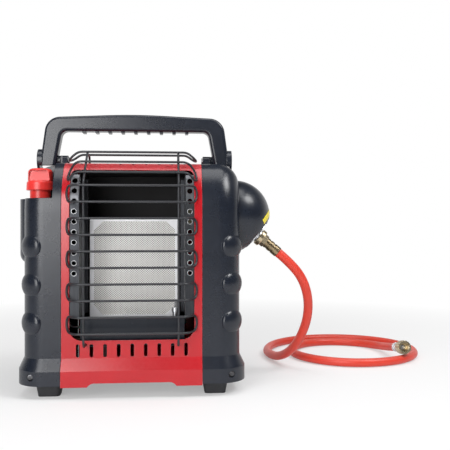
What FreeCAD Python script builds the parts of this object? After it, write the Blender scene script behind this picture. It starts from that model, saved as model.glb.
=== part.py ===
import FreeCAD, Part
import math
import os
import Sketcher
from FreeCAD import Placement, Rotation, Vector

# Portable propane heater: a pressed steel front and back between two moulded side housings, a
# radiant tile burner behind a wire guard, a folding handle, a push and turn gas knob on the left
# and a swivelling regulator dome on the right with its supply hose.
# Millimetres. The drawing origin is on the floor, on the front plane, midway between the seams.
# X runs to the right seen from the front, Y to the rear, Z up.

SIZES = {
    # Where the drawing origin lies in the part's frame.
    "heater_x": -26.16,
    "heater_y": -67.51,
    # Case outline seen from the side.
    "seam_half": 91.5,
    "housing_width": 51.5,
    "case_depth": 160,
    "case_top": 308,
    "case_foot": 17,
    "brow_foot": 270.7,
    "brow_lean": 36.87,
    "sweep_radius": 90,
    "brow_radius": 31,
    "rear_radius": 34,
    "corner_radius": 29,
    "shell_wall": 3,
    "skirt_top": 51,
    "skirt_bend": 36,
    "skirt_flare": 7,
    "curve_margin": 1.5,
    "seam_gap": 0.3,
    # Pressed sheet panels.
    "sheet": 1.2,
    "panel_foot": 15,
    "panel_join": 72,
    "opening_half": 81,
    "opening_low": 74,
    "opening_high": 297,
    "opening_low_radius": 16,
    "opening_high_radius": 8,
    "slot_pitch": 17.5,
    "slot_width": 4.7,
    "slot_low": 52.5,
    "slot_high": 69.5,
    "slot_count": 9,
    "vent_pitch": 17.2,
    "vent_width": 3.4,
    "vent_length": 14,
    "vent_count": 9,
    "notch_half": 62,
    "notch_rise": 5,
    "louvre_width": 60,
    "louvre_height": 5,
    "louvre_pitch": 14,
    "louvre_count": 6,
    # Base pan and feet.
    "pan_level": 20,
    "pan_sheet": 1.5,
    "pan_inset": 0.4,
    "foot_across": 34,
    "foot_along": 28,
    "foot_radius": 8,
    # Sideways places on a housing are measured outward from the seam.
    "foot_x": 17.5,
    "foot_front": 22,
    "foot_rear": 134,
    "foot_neck": 9,
    "foot_screw": 2,
    "skirt_screw_x": 38.5,
    "skirt_screw_z": 28,
    "skirt_screw": 2.1,
    "skirt_screw_head": 4,
    "skirt_boss": 6,
    "skirt_seat": 1.5,
    "lug_size": 10,
    "lug_front": 6,
    # Grip pads on the front corners.
    "pad_height": 17,
    "pad_reach": 19,
    "pad_depth": 8,
    "pad_rise": 3.4,
    "pad_low": 96,
    "pad_pitch": 50,
    # Knob pod and knob.
    "pod_x": 37.5,
    "pod_y": 60,
    "pod_radius": 26.5,
    "pod_low": 171,
    "pod_top": 259,
    "pod_round": 14,
    "notch_inner": 11.5,
    "notch_rear": 86,
    "knob_neck": 14,
    "knob_neck_fit": 0.4,
    "knob_skirt": 18.8,
    "knob_skirt_low": 271.4,
    "knob_skirt_high": 283,
    "knob_grip": 16.6,
    "knob_top": 301.5,
    "knob_grip_half": 7.5,
    "knob_sink": 8,
    "knob_travel": 4,
    "stem_radius": 4,
    "stem_fit": 0.08,
    "spring_radius": 9.7,
    "valve_radius": 15,
    "valve_top": 238,
    "valve_low": 204,
    # Handle. Its heights are measured up from the case top.
    "pivot_y": 92,
    "pivot_z": 8,
    "handle_top": 73,
    "handle_front": 77.5,
    "handle_depth": 22,
    "leg_inner": 20.5,
    "leg_outer": 42.5,
    "leg_top_outer": 33.2,
    "leg_top_inner": 11.5,
    "grip_under": 49,
    "handle_edge": 4.5,
    "cheek_radius": 16,
    "cheek_thick": 3.4,
    "top_gap": 0.5,
    "post_inner": 4.5,
    "post_outer": 14.5,
    "post_half": 10,
    "post_round": 7,
    "pin_radius": 3,
    "pin_fit": 0.1,
    "rib_count": 9,
    "rib_pitch": 18.2,
    "rib_drop": 2.6,
    "rib_width": 5,
    # Wire guard.
    "wire": 1.5,
    "guard_stand": 24,
    "ring_low": 96.5,
    "ring_pitch": 41.85,
    "ring_count": 5,
    "ring_gap": 20.9,
    "ring_half": 84,
    "ring_bend": 14,
    "upright_x": 60,
    "upright_step": 2.6,
    "upright_bend": 8,
    "upright_hook": 69,
    "upright_leg": 42.5,
    # Burner and its box.
    "box_half": 71,
    "box_front": 30,
    "box_back": 118,
    "box_low": 90,
    "box_high": 296,
    "liner": 1,
    "liner_gap": 0.3,
    "flange_outer": 10.8,
    "flange_hole": 3.5,
    "flange_holes": 10,
    "flange_pitch": 13.45,
    "flange_low": 161,
    "reflector_low": 103.5,
    "reflector_high": 287,
    "reflector_back": 56,
    "reflector_lip": 6,
    "tile_half": 58,
    "tile_low": 98,
    "tile_high": 231,
    "tile_thick": 13,
    "frame_face": 57,
    "frame_lap": 3.5,
    "frame_border": 5.5,
    "frame_corner": 12,
    "frame_thick": 1.2,
    "plenum_depth": 26,
    "plate_face": 10,
    "plate_half": 68.2,
    "plate_low": 66,
    "plate_high": 103,
    "mixer_radius": 10,
    "mixer_wall": 1,
    "mixer_y": 88,
    "mixer_z": 62,
    "mixer_left": 62,
    "mixer_rise_x": 10,
    "mixer_bend": 22,
    "pilot_x": 15,
    "pilot_y": 34,
    "pilot_top": 112,
    "switch_x": 20.5,
    "switch_y": 85,
    # Regulator dome.
    "dome_x": 49,
    "dome_y": 72,
    "dome_z": 237.5,
    "dome_radius": 50,
    "dome_wall": 2.5,
    "dome_seat": 45,
    "dome_tilt": 40.1,
    "dome_cut": 39.6,
    "dome_fit": 0.4,
    "spigot_radius": 11,
    "spigot_fit": 0.1,
    "spigot_reach": 14,
    "regulator_radius": 26.5,
    "inlet_plate": 2,
    "hose_nut": 12,
    "hose_nut_length": 7,
    "hose_hex": 9,
    "hose_hex_length": 6,
    "ferrule": 7.6,
    "ferrule_length": 23,
    "hose": 6.75,
    "hose_lead": 24,
    "bottle_nut": 11,
    "bottle_nut_length": 18,
    "nut_stem": 4,
    "tube": 3,
}

# Hand laid route of the supply hose, from its ferrule to the floor and round on the floor.
HOSE_ROUTE = [
    (241.0, 79.0, 146.0),
    (252.0, 91.0, 116.0),
    (254.0, 108.0, 84.0),
    (248.0, 129.0, 53.0),
    (237.0, 154.0, 27.0),
    (224.0, 189.0, 11.0),
    (214.5, 230.0, 7.3),
    (215.5, 276.0, 7.0),
    (238.0, 330.0, 7.0),
    (286.0, 371.0, 7.0),
    (345.0, 385.0, 7.0),
    (407.0, 370.0, 7.0),
    (452.0, 329.0, 7.0),
    (471.0, 274.0, 7.0),
    (462.0, 216.0, 7.0),
    (427.0, 172.0, 7.0),
    (376.0, 150.0, 7.0),
    (321.0, 154.0, 7.0),
    (277.0, 186.0, 7.0),
    (255.0, 235.0, 7.0),
    (262.5, 287.0, 7.0),
    (296.0, 329.0, 7.0),
    (345.0, 343.0, 7.0),
    (393.0, 325.0, 7.0),
    (419.0, 288.0, 8.0),
    (424.0, 247.0, 13.2),
    (424.5, 207.0, 20.2),
]

os.makedirs("parts", exist_ok=True)
doc = FreeCAD.newDocument("PropaneHeater")
sheet = doc.addObject("Spreadsheet::Sheet", "Sizes")
for row, (alias, number) in enumerate(SIZES.items(), start=1):
    sheet.set(f"A{row}", alias)
    sheet.set(f"B{row}", str(number))
    sheet.setAlias(f"B{row}", alias)
doc.recompute()

nodes = []
UP = Vector(0, 0, 1)
DOWN = Vector(0, 0, -1)
RIGHT = Vector(1, 0, 0)
REAR = Vector(0, 1, 0)


class Size:
    """A length that carries its number together with the sheet expression behind it."""

    def __init__(self, number, text):
        self.number = float(number)
        self.text = text

    def __add__(self, other):
        return Size(self.number + number_of(other), f"({self.text} + {text_of(other)})")

    def __radd__(self, other):
        return self + other

    def __sub__(self, other):
        return Size(self.number - number_of(other), f"({self.text} - {text_of(other)})")

    def __rsub__(self, other):
        return Size(number_of(other) - self.number, f"({text_of(other)} - {self.text})")

    def __mul__(self, other):
        return Size(self.number * number_of(other), f"{self.text} * {text_of(other)}")

    def __rmul__(self, other):
        return self * other

    def __truediv__(self, other):
        return Size(self.number / number_of(other), f"{self.text} / {text_of(other)}")

    def __neg__(self):
        return self * -1


def number_of(value):
    return value.number if isinstance(value, Size) else float(value)


def text_of(value):
    return value.text if isinstance(value, Size) else f"({value:g})"


def size(alias):
    return Size(sheet.get(alias), f"Sizes.{alias}")


def tangent(angle):
    """The tangent of an angle in degrees, as a Size."""
    return Size(math.tan(math.radians(angle.number)), f"tan({angle.text} * 1deg)")


def cosine(angle):
    """The cosine of an angle in degrees, as a Size."""
    return Size(math.cos(math.radians(angle.number)), f"cos({angle.text} * 1deg)")


def smaller(first, second):
    """The smaller of two sizes."""
    return Size(min(first.number, second.number), f"min({first.text}; {second.text})")


def bind(item, name, value):
    """Set one property from the sheet."""
    if isinstance(value, Size):
        item.setExpression(name, value.text)
    else:
        setattr(item, name, value)


def place(item, at, axis=UP):
    """Put an object at a drawing point with its own Z along an axis."""
    spots = [at[0] + size("heater_x"), at[1] + size("heater_y"), at[2]]
    item.Placement = Placement(Vector(*[number_of(spot) for spot in spots]), Rotation(UP, axis))
    for letter, spot in zip("xyz", spots):
        if isinstance(spot, Size):
            item.setExpression(f"Placement.Base.{letter}", spot.text)


def finish(item, label):
    """Name a finished sub-part, which is written under its Label."""
    item.Label = label
    nodes.append(item)
    return item


def cylinder(radius, length, at, axis=UP):
    item = doc.addObject("Part::Cylinder", "Cylinder")
    bind(item, "Radius", radius)
    bind(item, "Height", length)
    place(item, at, axis)
    return item


def hexagon(radius, length, at, axis=UP):
    item = doc.addObject("Part::Prism", "Hexagon")
    item.Polygon = 6
    bind(item, "Circumradius", radius)
    bind(item, "Height", length)
    place(item, at, axis)
    return item


def box(low, high):
    """A block between two opposite corners."""
    item = doc.addObject("Part::Box", "Block")
    for name, start, end in zip(("Length", "Width", "Height"), low, high):
        bind(item, name, end - start)
    place(item, low)
    return item


def fuse(*items):
    item = doc.addObject("Part::MultiFuse", "Fuse")
    item.Shapes = list(items)
    return item


def cut(base, *tools):
    item = doc.addObject("Part::Cut", "Cut")
    item.Base = base
    item.Tool = tools[0] if len(tools) == 1 else fuse(*tools)
    return item


def common(first, second):
    item = doc.addObject("Part::MultiCommon", "Common")
    item.Shapes = [first, second]
    return item


def mirror(item):
    """The same piece on the other side of the middle plane."""
    copy = doc.addObject("Part::Mirroring", "Mirror")
    copy.Source = item
    copy.Normal = RIGHT
    copy.setExpression("Base.x", "Sizes.heater_x")
    return copy


def solid(shape, label=None):
    """A form that primitives and sketches don't fit, set from the sheet's numbers."""
    item = doc.addObject("Part::Feature", label or "Form")
    item.Shape = shape
    item.Placement = Placement(Vector(size("heater_x").number, size("heater_y").number, 0), Rotation())
    return item


def body(name):
    item = doc.addObject("PartDesign::Body", name)
    place(item, (0, 0, 0))
    return item


def sketch(owner, plane, offset=0):
    """An empty sketch on one of the body's own origin planes, moved along its normal."""
    drawing = owner.newObject("Sketcher::SketchObject", "Sketch")
    role = {item.Role: item for item in owner.Origin.OriginFeatures}
    drawing.AttachmentSupport = [(role[plane], "")]
    drawing.MapMode = "FlatFace"
    if isinstance(offset, Size):
        drawing.setExpression("AttachmentOffset.Base.z", offset.text)
    return drawing


def pin_point(drawing, geometry, corner):
    """Hold a point of the sketch at its distances from the sketch origin."""
    for kind, value in zip(("DistanceX", "DistanceY"), corner):
        index = drawing.addConstraint(
            Sketcher.Constraint(kind, -1, 1, geometry, 1, number_of(value)))
        if isinstance(value, Size):
            drawing.setExpression(f"Constraints[{index}]", value.text)


def outline(owner, plane, corners, offset=0):
    """A closed sketch through corners (across, up, radius); a radius of None stays sharp."""
    drawing = sketch(owner, plane, offset)
    spots = [Vector(number_of(c[0]), number_of(c[1]), 0) for c in corners]
    count = len(spots)
    entries, exits, rounds = [], [], []
    for index, spot in enumerate(spots):
        before = (spots[index - 1] - spot).normalize()
        after = (spots[(index + 1) % count] - spot).normalize()
        if corners[index][2] is None:
            entries.append(spot)
            exits.append(spot)
            rounds.append(None)
            continue
        radius = number_of(corners[index][2])
        half = before.getAngle(after) / 2
        reach = radius / math.tan(half)
        centre = spot + (before + after).normalize() * (radius / math.sin(half))
        entries.append(spot + before * reach)
        exits.append(spot + after * reach)
        left_turn = before.cross(after).z < 0
        start, end = (entries[-1], exits[-1]) if left_turn else (exits[-1], entries[-1])
        angles = [math.atan2(p.y - centre.y, p.x - centre.x) for p in (start, end)]
        arc = Part.ArcOfCircle(Part.Circle(centre, UP, radius), angles[0], angles[1])
        rounds.append((arc, left_turn, corners[index][2]))
    lines = [drawing.addGeometry(Part.LineSegment(exits[i], entries[(i + 1) % count]), False)
             for i in range(count)]
    for index, corner in enumerate(corners):
        line_in, line_out = lines[index - 1], lines[index]
        if rounds[index] is None:
            drawing.addConstraint(Sketcher.Constraint("Coincident", line_in, 2, line_out, 1))
            pin_point(drawing, line_out, corner)
            continue
        arc, left_turn, radius = rounds[index]
        curve = drawing.addGeometry(arc, False)
        point = drawing.addGeometry(Part.Point(spots[index]), True)
        first, last = (1, 2) if left_turn else (2, 1)
        drawing.addConstraint(Sketcher.Constraint("Tangent", line_in, 2, curve, first))
        drawing.addConstraint(Sketcher.Constraint("Tangent", line_out, 1, curve, last))
        drawing.addConstraint(Sketcher.Constraint("PointOnObject", point, 1, line_in))
        drawing.addConstraint(Sketcher.Constraint("PointOnObject", point, 1, line_out))
        held = drawing.addConstraint(Sketcher.Constraint("Radius", curve, number_of(radius)))
        if isinstance(radius, Size):
            drawing.setExpression(f"Constraints[{held}]", radius.text)
        pin_point(drawing, point, corner)
    return drawing


def circles(owner, plane, rounds, offset=0):
    """A sketch of whole circles, each (across, up, radius)."""
    drawing = sketch(owner, plane, offset)
    for across, up, radius in rounds:
        centre = Vector(number_of(across), number_of(up), 0)
        ring = drawing.addGeometry(Part.Circle(centre, UP, number_of(radius)), False)
        held = drawing.addConstraint(Sketcher.Constraint("Radius", ring, number_of(radius)))
        drawing.setExpression(f"Constraints[{held}]", text_of(radius))
        for kind, value in zip(("DistanceX", "DistanceY"), (across, up)):
            index = drawing.addConstraint(
                Sketcher.Constraint(kind, -1, 1, ring, 3, number_of(value)))
            if isinstance(value, Size):
                drawing.setExpression(f"Constraints[{index}]", value.text)
    return drawing


def pad(owner, drawing, length, both=False, reverse=False):
    item = owner.newObject("PartDesign::Pad", "Pad")
    item.Profile = drawing
    item.Midplane = both
    item.Reversed = reverse
    bind(item, "Length", length)
    doc.recompute()
    return item


def pocket(owner, drawing, length, both=False, reverse=False):
    """A cut of the given depth, which must take something away."""
    before = owner.Shape.Volume
    item = owner.newObject("PartDesign::Pocket", "Pocket")
    item.Profile = drawing
    item.Midplane = both
    item.Reversed = reverse
    bind(item, "Length", length)
    doc.recompute()
    if owner.Shape.Volume > before - 0.01:
        raise ValueError(f"{owner.Name}: a pocket cuts nothing")
    return item


def repeat(owner, feature, axis, pitch, count, reverse=False):
    """A row of copies of a feature along one of the body's own axes."""
    item = owner.newObject("PartDesign::LinearPattern", "Row")
    role = {found.Role: found for found in owner.Origin.OriginFeatures}
    item.Originals = [feature]
    item.Direction = (role[axis], [""])
    item.Reversed = reverse
    bind(item, "Length", pitch * (count - 1))
    bind(item, "Occurrences", count)
    owner.Tip = item
    doc.recompute()
    return item


def soften(owner, radius, chosen):
    """Round the edges that a test picks out."""
    base = owner.Tip
    names = [f"Edge{i + 1}" for i, edge in enumerate(base.Shape.Edges) if chosen(edge)]
    item = owner.newObject("PartDesign::Fillet", "Round")
    item.Base = (base, names)
    bind(item, "Radius", radius)
    doc.recompute()
    return item


def turned(name, profile, at, axis=UP):
    """A revolved body. The profile runs (radius, height) from the axis out and back to it."""
    owner = body(name)
    place(owner, at, axis)
    drawing = outline(owner, "XZ_Plane", profile)
    item = owner.newObject("PartDesign::Revolution", "Revolution")
    item.Profile = drawing
    item.ReferenceAxis = (drawing, ["V_Axis"])
    item.Angle = 360
    doc.recompute()
    return owner


def flat(radius, height):
    return (radius, height, None)


def rounded_path(points, radius):
    """A wire through the points, straight runs joined by tangent arcs of one radius."""
    edges = []
    start = points[0]
    for index in range(1, len(points) - 1):
        spot = points[index]
        before = (points[index - 1] - spot).normalize()
        after = (points[index + 1] - spot).normalize()
        half = before.getAngle(after) / 2
        bend = radius[index - 1] if isinstance(radius, list) else radius
        reach = bend / math.tan(half)
        centre = spot + (before + after).normalize() * (bend / math.sin(half))
        entry, leave = spot + before * reach, spot + after * reach
        middle = centre + (spot - centre).normalize() * bend
        edges.append(Part.LineSegment(start, entry).toShape())
        edges.append(Part.Arc(entry, middle, leave).toShape())
        start = leave
    edges.append(Part.LineSegment(start, points[-1]).toShape())
    return Part.Wire(edges)


def tube_along(path, radius):
    """A round section carried along a wire, closed at both ends."""
    first = path.Edges[0]
    start = first.valueAt(first.FirstParameter)
    direction = first.tangentAt(first.FirstParameter)
    section = Part.Wire(Part.Circle(start, direction, radius).toShape())
    return path.makePipeShell([section], True, False)


# Shared measures that several pieces use.
seam = size("seam_half")
width = size("housing_width")
outer_x = seam + width
depth = size("case_depth")
top = size("case_top")
wall = size("shell_wall")
skin = size("sheet")
flare = size("skirt_flare")
half_lean = tangent(size("brow_lean") / 2)
half_rest = tangent(45 - size("brow_lean") / 2)
brow_back = (top - size("brow_foot")) * tangent(size("brow_lean"))
skirt_rise = size("skirt_top") - size("skirt_bend")
brow_length = (top - size("brow_foot")) / cosine(size("brow_lean"))
# The two curves of the brow share its length, and the corner round stays inside the tighter one.
brow_room = (brow_length - size("sweep_radius") * half_lean) / half_rest
brow_curve = smaller(size("brow_radius"), brow_room - size("curve_margin"))
corner = smaller(size("corner_radius"), brow_curve - size("curve_margin"))
# Places on the housings, outward from the seam.
foot_x = seam + size("foot_x")
skirt_screw_x = seam + size("skirt_screw_x")
pod_x = seam + size("pod_x")
notch_inner = seam + size("notch_inner")
leg_inner = seam + size("leg_inner")
leg_outer = seam + size("leg_outer")
leg_top_inner = seam + size("leg_top_inner")
leg_top_outer = seam + size("leg_top_outer")
post_inner = seam + size("post_inner")
post_outer = seam + size("post_outer")
dome_x = seam + size("dome_x")
dome_seat_x = seam + size("dome_seat")
# Heights of the handle, upward from the case top.
pivot_z = top + size("pivot_z")
handle_top = top + size("handle_top")
grip_under = top + size("grip_under")


def case_corners(inset, low):
    """Side outline of the case, every wall moved inward by the inset."""
    return [
        (inset + 0, low, None),
        (inset + 0, size("brow_foot") - inset * half_lean, size("sweep_radius") - inset),
        (brow_back + inset * half_rest, top - inset, brow_curve - inset),
        (depth - inset, top - inset, size("rear_radius") - inset),
        (depth - inset, low, None),
    ]


def plan_corners(side, start, reach, front, inset, spread):
    """Outline of one housing seen from above, rounded at its two outer corners."""
    radius = corner + spread - inset
    return [
        (start * side, front + inset, None),
        ((reach - inset) * side, front + inset, radius),
        ((reach - inset) * side, depth - inset, radius),
        (start * side, depth - inset, None),
    ]


def housing_form(name, side, inset, start, low):
    """The housing's outside, or its hollow when an inset and a start past the seam are given."""
    owner = body(name)
    drawing = outline(owner, "YZ_Plane", case_corners(inset, low), start * side)
    pad(owner, drawing, outer_x - inset - start, reverse=side < 0)
    face_x = number_of(outer_x - inset) * side
    soften(owner, corner - inset, lambda edge: abs(edge.BoundBox.XMin - face_x) < 0.01
           and abs(edge.BoundBox.XMax - face_x) < 0.01 and edge.BoundBox.ZMax > low.number + 1)
    zero = size("skirt_flare") * 0
    upper = outline(owner, "XY_Plane", plan_corners(side, start, outer_x, zero, inset, 0),
                    size("skirt_top"))
    lower = outline(owner, "XY_Plane", plan_corners(side, start, outer_x + flare, -flare, inset, flare),
                    size("skirt_bend"))
    loft = owner.newObject("PartDesign::AdditiveLoft", "Skirt")
    loft.Profile = upper
    loft.Sections = [(lower, [""])]
    loft.Ruled = True
    doc.recompute()
    band = outline(owner, "XY_Plane", plan_corners(side, start, outer_x + flare, -flare, inset, flare),
                   size("skirt_bend"))
    pad(owner, band, size("skirt_bend") - low, reverse=True)
    return owner


def grip_pads(side):
    """Three raised pads one above another on the front corner of a housing."""
    pads = []
    turn = math.cos(math.radians(45))
    centre = corner + size("pad_rise") - size("pad_depth")
    across = (outer_x - corner + centre * turn) * side
    back = corner - centre * turn
    for step in range(3):
        item = doc.addObject("Part::Ellipsoid", "GripPad")
        bind(item, "Radius1", size("pad_height"))
        bind(item, "Radius2", size("pad_reach"))
        bind(item, "Radius3", size("pad_depth"))
        item.Angle1 = -90
        place(item, (across, back, size("pad_low") + size("pad_pitch") * step))
        item.Placement.Rotation = Rotation(UP, 45 * side)
        pads.append(item)
    return pads


def stop_post(side):
    """The ear on top of a housing that carries the handle's pin."""
    owner = body("Post")
    half = size("post_half")
    crest = pivot_z + size("post_round")
    drawing = outline(owner, "YZ_Plane", [
        (size("pivot_y") - half - 2, top - 1, None),
        (size("pivot_y") - size("post_round"), crest, size("post_round") - 0.5),
        (size("pivot_y") + size("post_round"), crest, size("post_round") - 0.5),
        (size("pivot_y") + half + 2, top - 1, None),
    ], post_inner * side)
    pad(owner, drawing, post_outer - post_inner, reverse=side < 0)
    return owner


def pin_bore(side, radius):
    """Room for the handle's pin through the post."""
    start = post_inner - 2 if side > 0 else post_outer * -1 - 2
    return cylinder(radius, post_outer - post_inner + 4,
                    (start, size("pivot_y"), pivot_z), RIGHT)


def skirt_boss(side, skin):
    """The post behind the skirt that the pan's screw pulls against, kept inside the skin."""
    boss = cylinder(size("skirt_boss"), size("lug_front") + 5.7,
                    (skirt_screw_x * side, -6, size("skirt_screw_z")), REAR)
    return common(boss, skin)


def skirt_screw_hole(side):
    """The bore for the screw's shank and the wider seat for its head."""
    bore = cylinder(size("skirt_screw") + 0.15, 30,
                    (skirt_screw_x * side, -12, size("skirt_screw_z")), REAR)
    seat = cylinder(size("skirt_screw_head") + 0.3, size("skirt_seat") + 12,
                    (skirt_screw_x * side, -12, size("skirt_screw_z")), REAR)
    return fuse(bore, seat)


# Front panel: pressed sheet with the burner opening, air slots and brow vents.

def panel_block(name, inset, low, back):
    """Everything behind the front panel's face, moved inward by the inset."""
    half_flare = Size(number_of(flare) / number_of(skirt_rise) / 2, f"{flare.text} / {skirt_rise.text} / 2")
    owner = body(name)
    drawing = outline(owner, "YZ_Plane", [
        (inset - flare, low, None),
        (inset - flare, size("skirt_bend") - inset * half_flare, None),
        (inset + 0, size("skirt_top") - inset * half_flare, None),
        (inset + 0, size("brow_foot") - inset * half_lean, size("sweep_radius") - inset),
        (brow_back + inset * half_rest, top - inset, brow_curve - inset),
        (back, top - inset, None),
        (back, low, None),
    ])
    extra = 2 if inset.number > 0 else 0
    pad(owner, drawing, (seam - size("seam_gap")) * 2 + extra, both=True)
    return owner


zero = seam * 0
front_shell = cut(panel_block("FrontOuter", zero, size("panel_foot"), size("panel_join")),
                  panel_block("FrontInner", skin, size("panel_foot") - 5, size("panel_join") + 5))


def front_cuts():
    """The tool that stamps the front panel's opening, slots, vents and lower edge."""
    owner = body("Opening")
    low, high = size("opening_low"), size("opening_high")
    half = size("opening_half")
    drawing = outline(owner, "XZ_Plane", [
        (-half, low, size("opening_low_radius")),
        (half, low, size("opening_low_radius")),
        (half, high, size("opening_high_radius")),
        (-half, high, size("opening_high_radius")),
    ])
    pad(owner, drawing, 120, both=True)
    slots = body("Slots")
    end = size("slot_width") / 2 - 0.05
    left = size("slot_pitch") * (1 - size("slot_count")) / 2
    drawing = outline(slots, "XZ_Plane", [
        (left - size("slot_width") / 2, size("slot_low"), end),
        (left + size("slot_width") / 2, size("slot_low"), end),
        (left + size("slot_width") / 2, size("slot_high"), end),
        (left - size("slot_width") / 2, size("slot_high"), end),
    ])
    first = pad(slots, drawing, 20, both=True)
    repeat(slots, first, "X_Axis", size("slot_pitch"), size("slot_count"))
    vents = body("Vents")
    end = size("vent_width") / 2 - 0.05
    left = size("vent_pitch") * (1 - size("vent_count")) / 2
    start = brow_back + 3
    drawing = outline(vents, "XY_Plane", [
        (left - size("vent_width") / 2, start, end),
        (left + size("vent_width") / 2, start, end),
        (left + size("vent_width") / 2, start + size("vent_length"), end),
        (left - size("vent_width") / 2, start + size("vent_length"), end),
    ], top - 12)
    first = pad(vents, drawing, 20)
    repeat(vents, first, "X_Axis", size("vent_pitch"), size("vent_count"))
    edge = body("LowerEdge")
    drawing = outline(edge, "XZ_Plane", [
        (-size("notch_half"), size("panel_foot") - 5, None),
        (size("notch_half"), size("panel_foot") - 5, None),
        (size("notch_half") - 9, size("panel_foot") + size("notch_rise"), 10),
        (-size("notch_half") + 9, size("panel_foot") + size("notch_rise"), 10),
    ])
    pad(edge, drawing, 30, both=True)
    return [owner, slots, vents, edge]


upright_holes = []
for side in (-1, 1):
    upright_holes.append(cylinder(size("wire") + 0.2, 10,
                                  (size("upright_x") * side, -5, size("upright_hook")), REAR))
    upright_holes.append(cylinder(size("wire") + 0.2, 12,
                                  (size("upright_x") * side, size("upright_leg"), top - 8)))
finish(cut(front_shell, *front_cuts(), *upright_holes), "front_panel")

# Rear panel: the top and back sheet with louvre openings.


def rear_block(name, inset, low, start):
    owner = body(name)
    drawing = outline(owner, "YZ_Plane", [
        (start, low, None),
        (start, top - inset, None),
        (depth - inset, top - inset, size("rear_radius") - inset),
        (depth - inset, low, None),
    ])
    extra = 2 if inset.number > 0 else 0
    pad(owner, drawing, (seam - size("seam_gap")) * 2 + extra, both=True)
    return owner


rear_shell = cut(rear_block("RearOuter", zero, size("panel_foot"), size("panel_join") + size("seam_gap")),
                 rear_block("RearInner", skin, size("panel_foot") - 5, size("panel_join") - 5))
louvres = body("Louvres")
louvre_end = size("louvre_height") / 2 - 0.05
louvre_low = size("case_foot") + 40
louvre_plan = outline(louvres, "XZ_Plane", [
    (-size("louvre_width"), louvre_low, louvre_end),
    (size("louvre_width"), louvre_low, louvre_end),
    (size("louvre_width"), louvre_low + size("louvre_height"), louvre_end),
    (-size("louvre_width"), louvre_low + size("louvre_height"), louvre_end),
], -depth - 10)
louvre = pad(louvres, louvre_plan, 20)
repeat(louvres, louvre, "Z_Axis", size("louvre_pitch"), size("louvre_count"))
rear_screw_spots = [(x, z) for x in (-80, 80) for z in (40, 150, 255)]
rear_holes = [cylinder(1.9, 12, (x, depth - 6, z), REAR) for x, z in rear_screw_spots]
finish(cut(rear_shell, louvres, *rear_holes), "rear_panel")

# Left housing: the moulded side with the knob's pod and the notch above it.
left_skin = housing_form("LeftOuter", -1, zero, seam, size("case_foot"))
pod = cylinder(size("pod_radius"), size("pod_top") - size("pod_low"),
               (-pod_x, size("pod_y"), size("pod_low")))
pod_round = doc.addObject("Part::Fillet", "PodRound")
pod_round.Base = pod
doc.recompute()
foot_edge = [i + 1 for i, edge in enumerate(pod.Shape.Edges)
             if abs(edge.BoundBox.ZMax - size("pod_low").number) < 0.01]
pod_round.Edges = [(index, size("pod_round").number, size("pod_round").number) for index in foot_edge]
doc.recompute()
knob_notch = box((-outer_x - 20, -20, size("pod_top")),
                 (-notch_inner, size("notch_rear"), top + 20))
neck_hole = cylinder(size("knob_neck") + size("knob_neck_fit"), 30,
                     (-pod_x, size("pod_y"), size("pod_top") - 15))
pod_hollow = cylinder(size("pod_radius") - wall, size("pod_top") - size("pod_low") - size("pod_round") - wall,
                      (-pod_x, size("pod_y"), size("pod_low") + size("pod_round")))
notch_liner = box((-outer_x - 30, -30, size("pod_top") - wall),
                  (-notch_inner + wall, size("notch_rear") + wall, top + 30))
left_core = cut(housing_form("LeftCore", -1, wall, seam - 1, size("case_foot") - 1), notch_liner)
left_solid = fuse(left_skin, pod_round, *grip_pads(-1), stop_post(-1))
left_shell = fuse(cut(left_solid, left_core, pod_hollow, knob_notch), skirt_boss(-1, left_skin))
finish(cut(left_shell, neck_hole, pin_bore(-1, size("pin_radius") + size("pin_fit")),
           skirt_screw_hole(-1)), "left_housing")

# Right housing: the moulded side with the round seat that the regulator dome turns in.
right_skin = housing_form("RightOuter", 1, zero, seam, size("case_foot"))
dome_seat = cylinder(size("dome_radius") + size("dome_fit"), 30,
                     (dome_seat_x - size("dome_fit"), size("dome_y"), size("dome_z")), RIGHT)
seat_liner = cylinder(size("dome_radius") + size("dome_fit") + wall, 40,
                      (dome_seat_x - size("dome_fit") - wall, size("dome_y"), size("dome_z")), RIGHT)
spigot_bore = cylinder(size("spigot_radius") + size("spigot_fit"), 20,
                       (dome_seat_x - 12, size("dome_y"), size("dome_z")), RIGHT)
right_core = cut(housing_form("RightCore", 1, wall, seam - 1, size("case_foot") - 1), seat_liner)
right_solid = fuse(right_skin, *grip_pads(1), stop_post(1))
right_shell = fuse(cut(right_solid, right_core, dome_seat), skirt_boss(1, right_skin))
finish(cut(right_shell, spigot_bore, pin_bore(1, size("pin_radius") + size("pin_fit")),
           skirt_screw_hole(1)), "right_housing")

# Base pan: the steel tray that the feet, the skirts and the switch are fixed to.
pan = body("Pan")
pan_x = outer_x + flare - wall - size("pan_inset")
pan_front = -flare + wall + size("pan_inset")
pan_back = depth - wall - size("pan_inset")
pan_radius = corner + flare - wall - size("pan_inset")
pad(pan, outline(pan, "XY_Plane", [
    (-pan_x, pan_front, pan_radius),
    (pan_x, pan_front, pan_radius),
    (pan_x, pan_back, pan_radius),
    (-pan_x, pan_back, pan_radius),
], size("pan_level")), size("pan_sheet"))
pocket(pan, circles(pan, "XY_Plane", [(x, y, size("foot_screw") + 0.15)
                                      for x in (-foot_x, foot_x)
                                      for y in (size("foot_front"), size("foot_rear"))]),
       80, both=True)
lugs = []
for side in (-1, 1):
    spot = skirt_screw_x * side
    low = size("pan_level") + size("pan_sheet") - 0.3
    lug = box((spot - size("lug_size") / 2, size("lug_front"), low),
              (spot + size("lug_size") / 2, size("lug_front") + size("lug_size"), size("skirt_screw_z") + 6))
    lugs.append(cut(lug, cylinder(size("skirt_screw"), 30, (spot, -12, size("skirt_screw_z")), REAR)))
finish(fuse(pan, *lugs), "base_pan")

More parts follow.
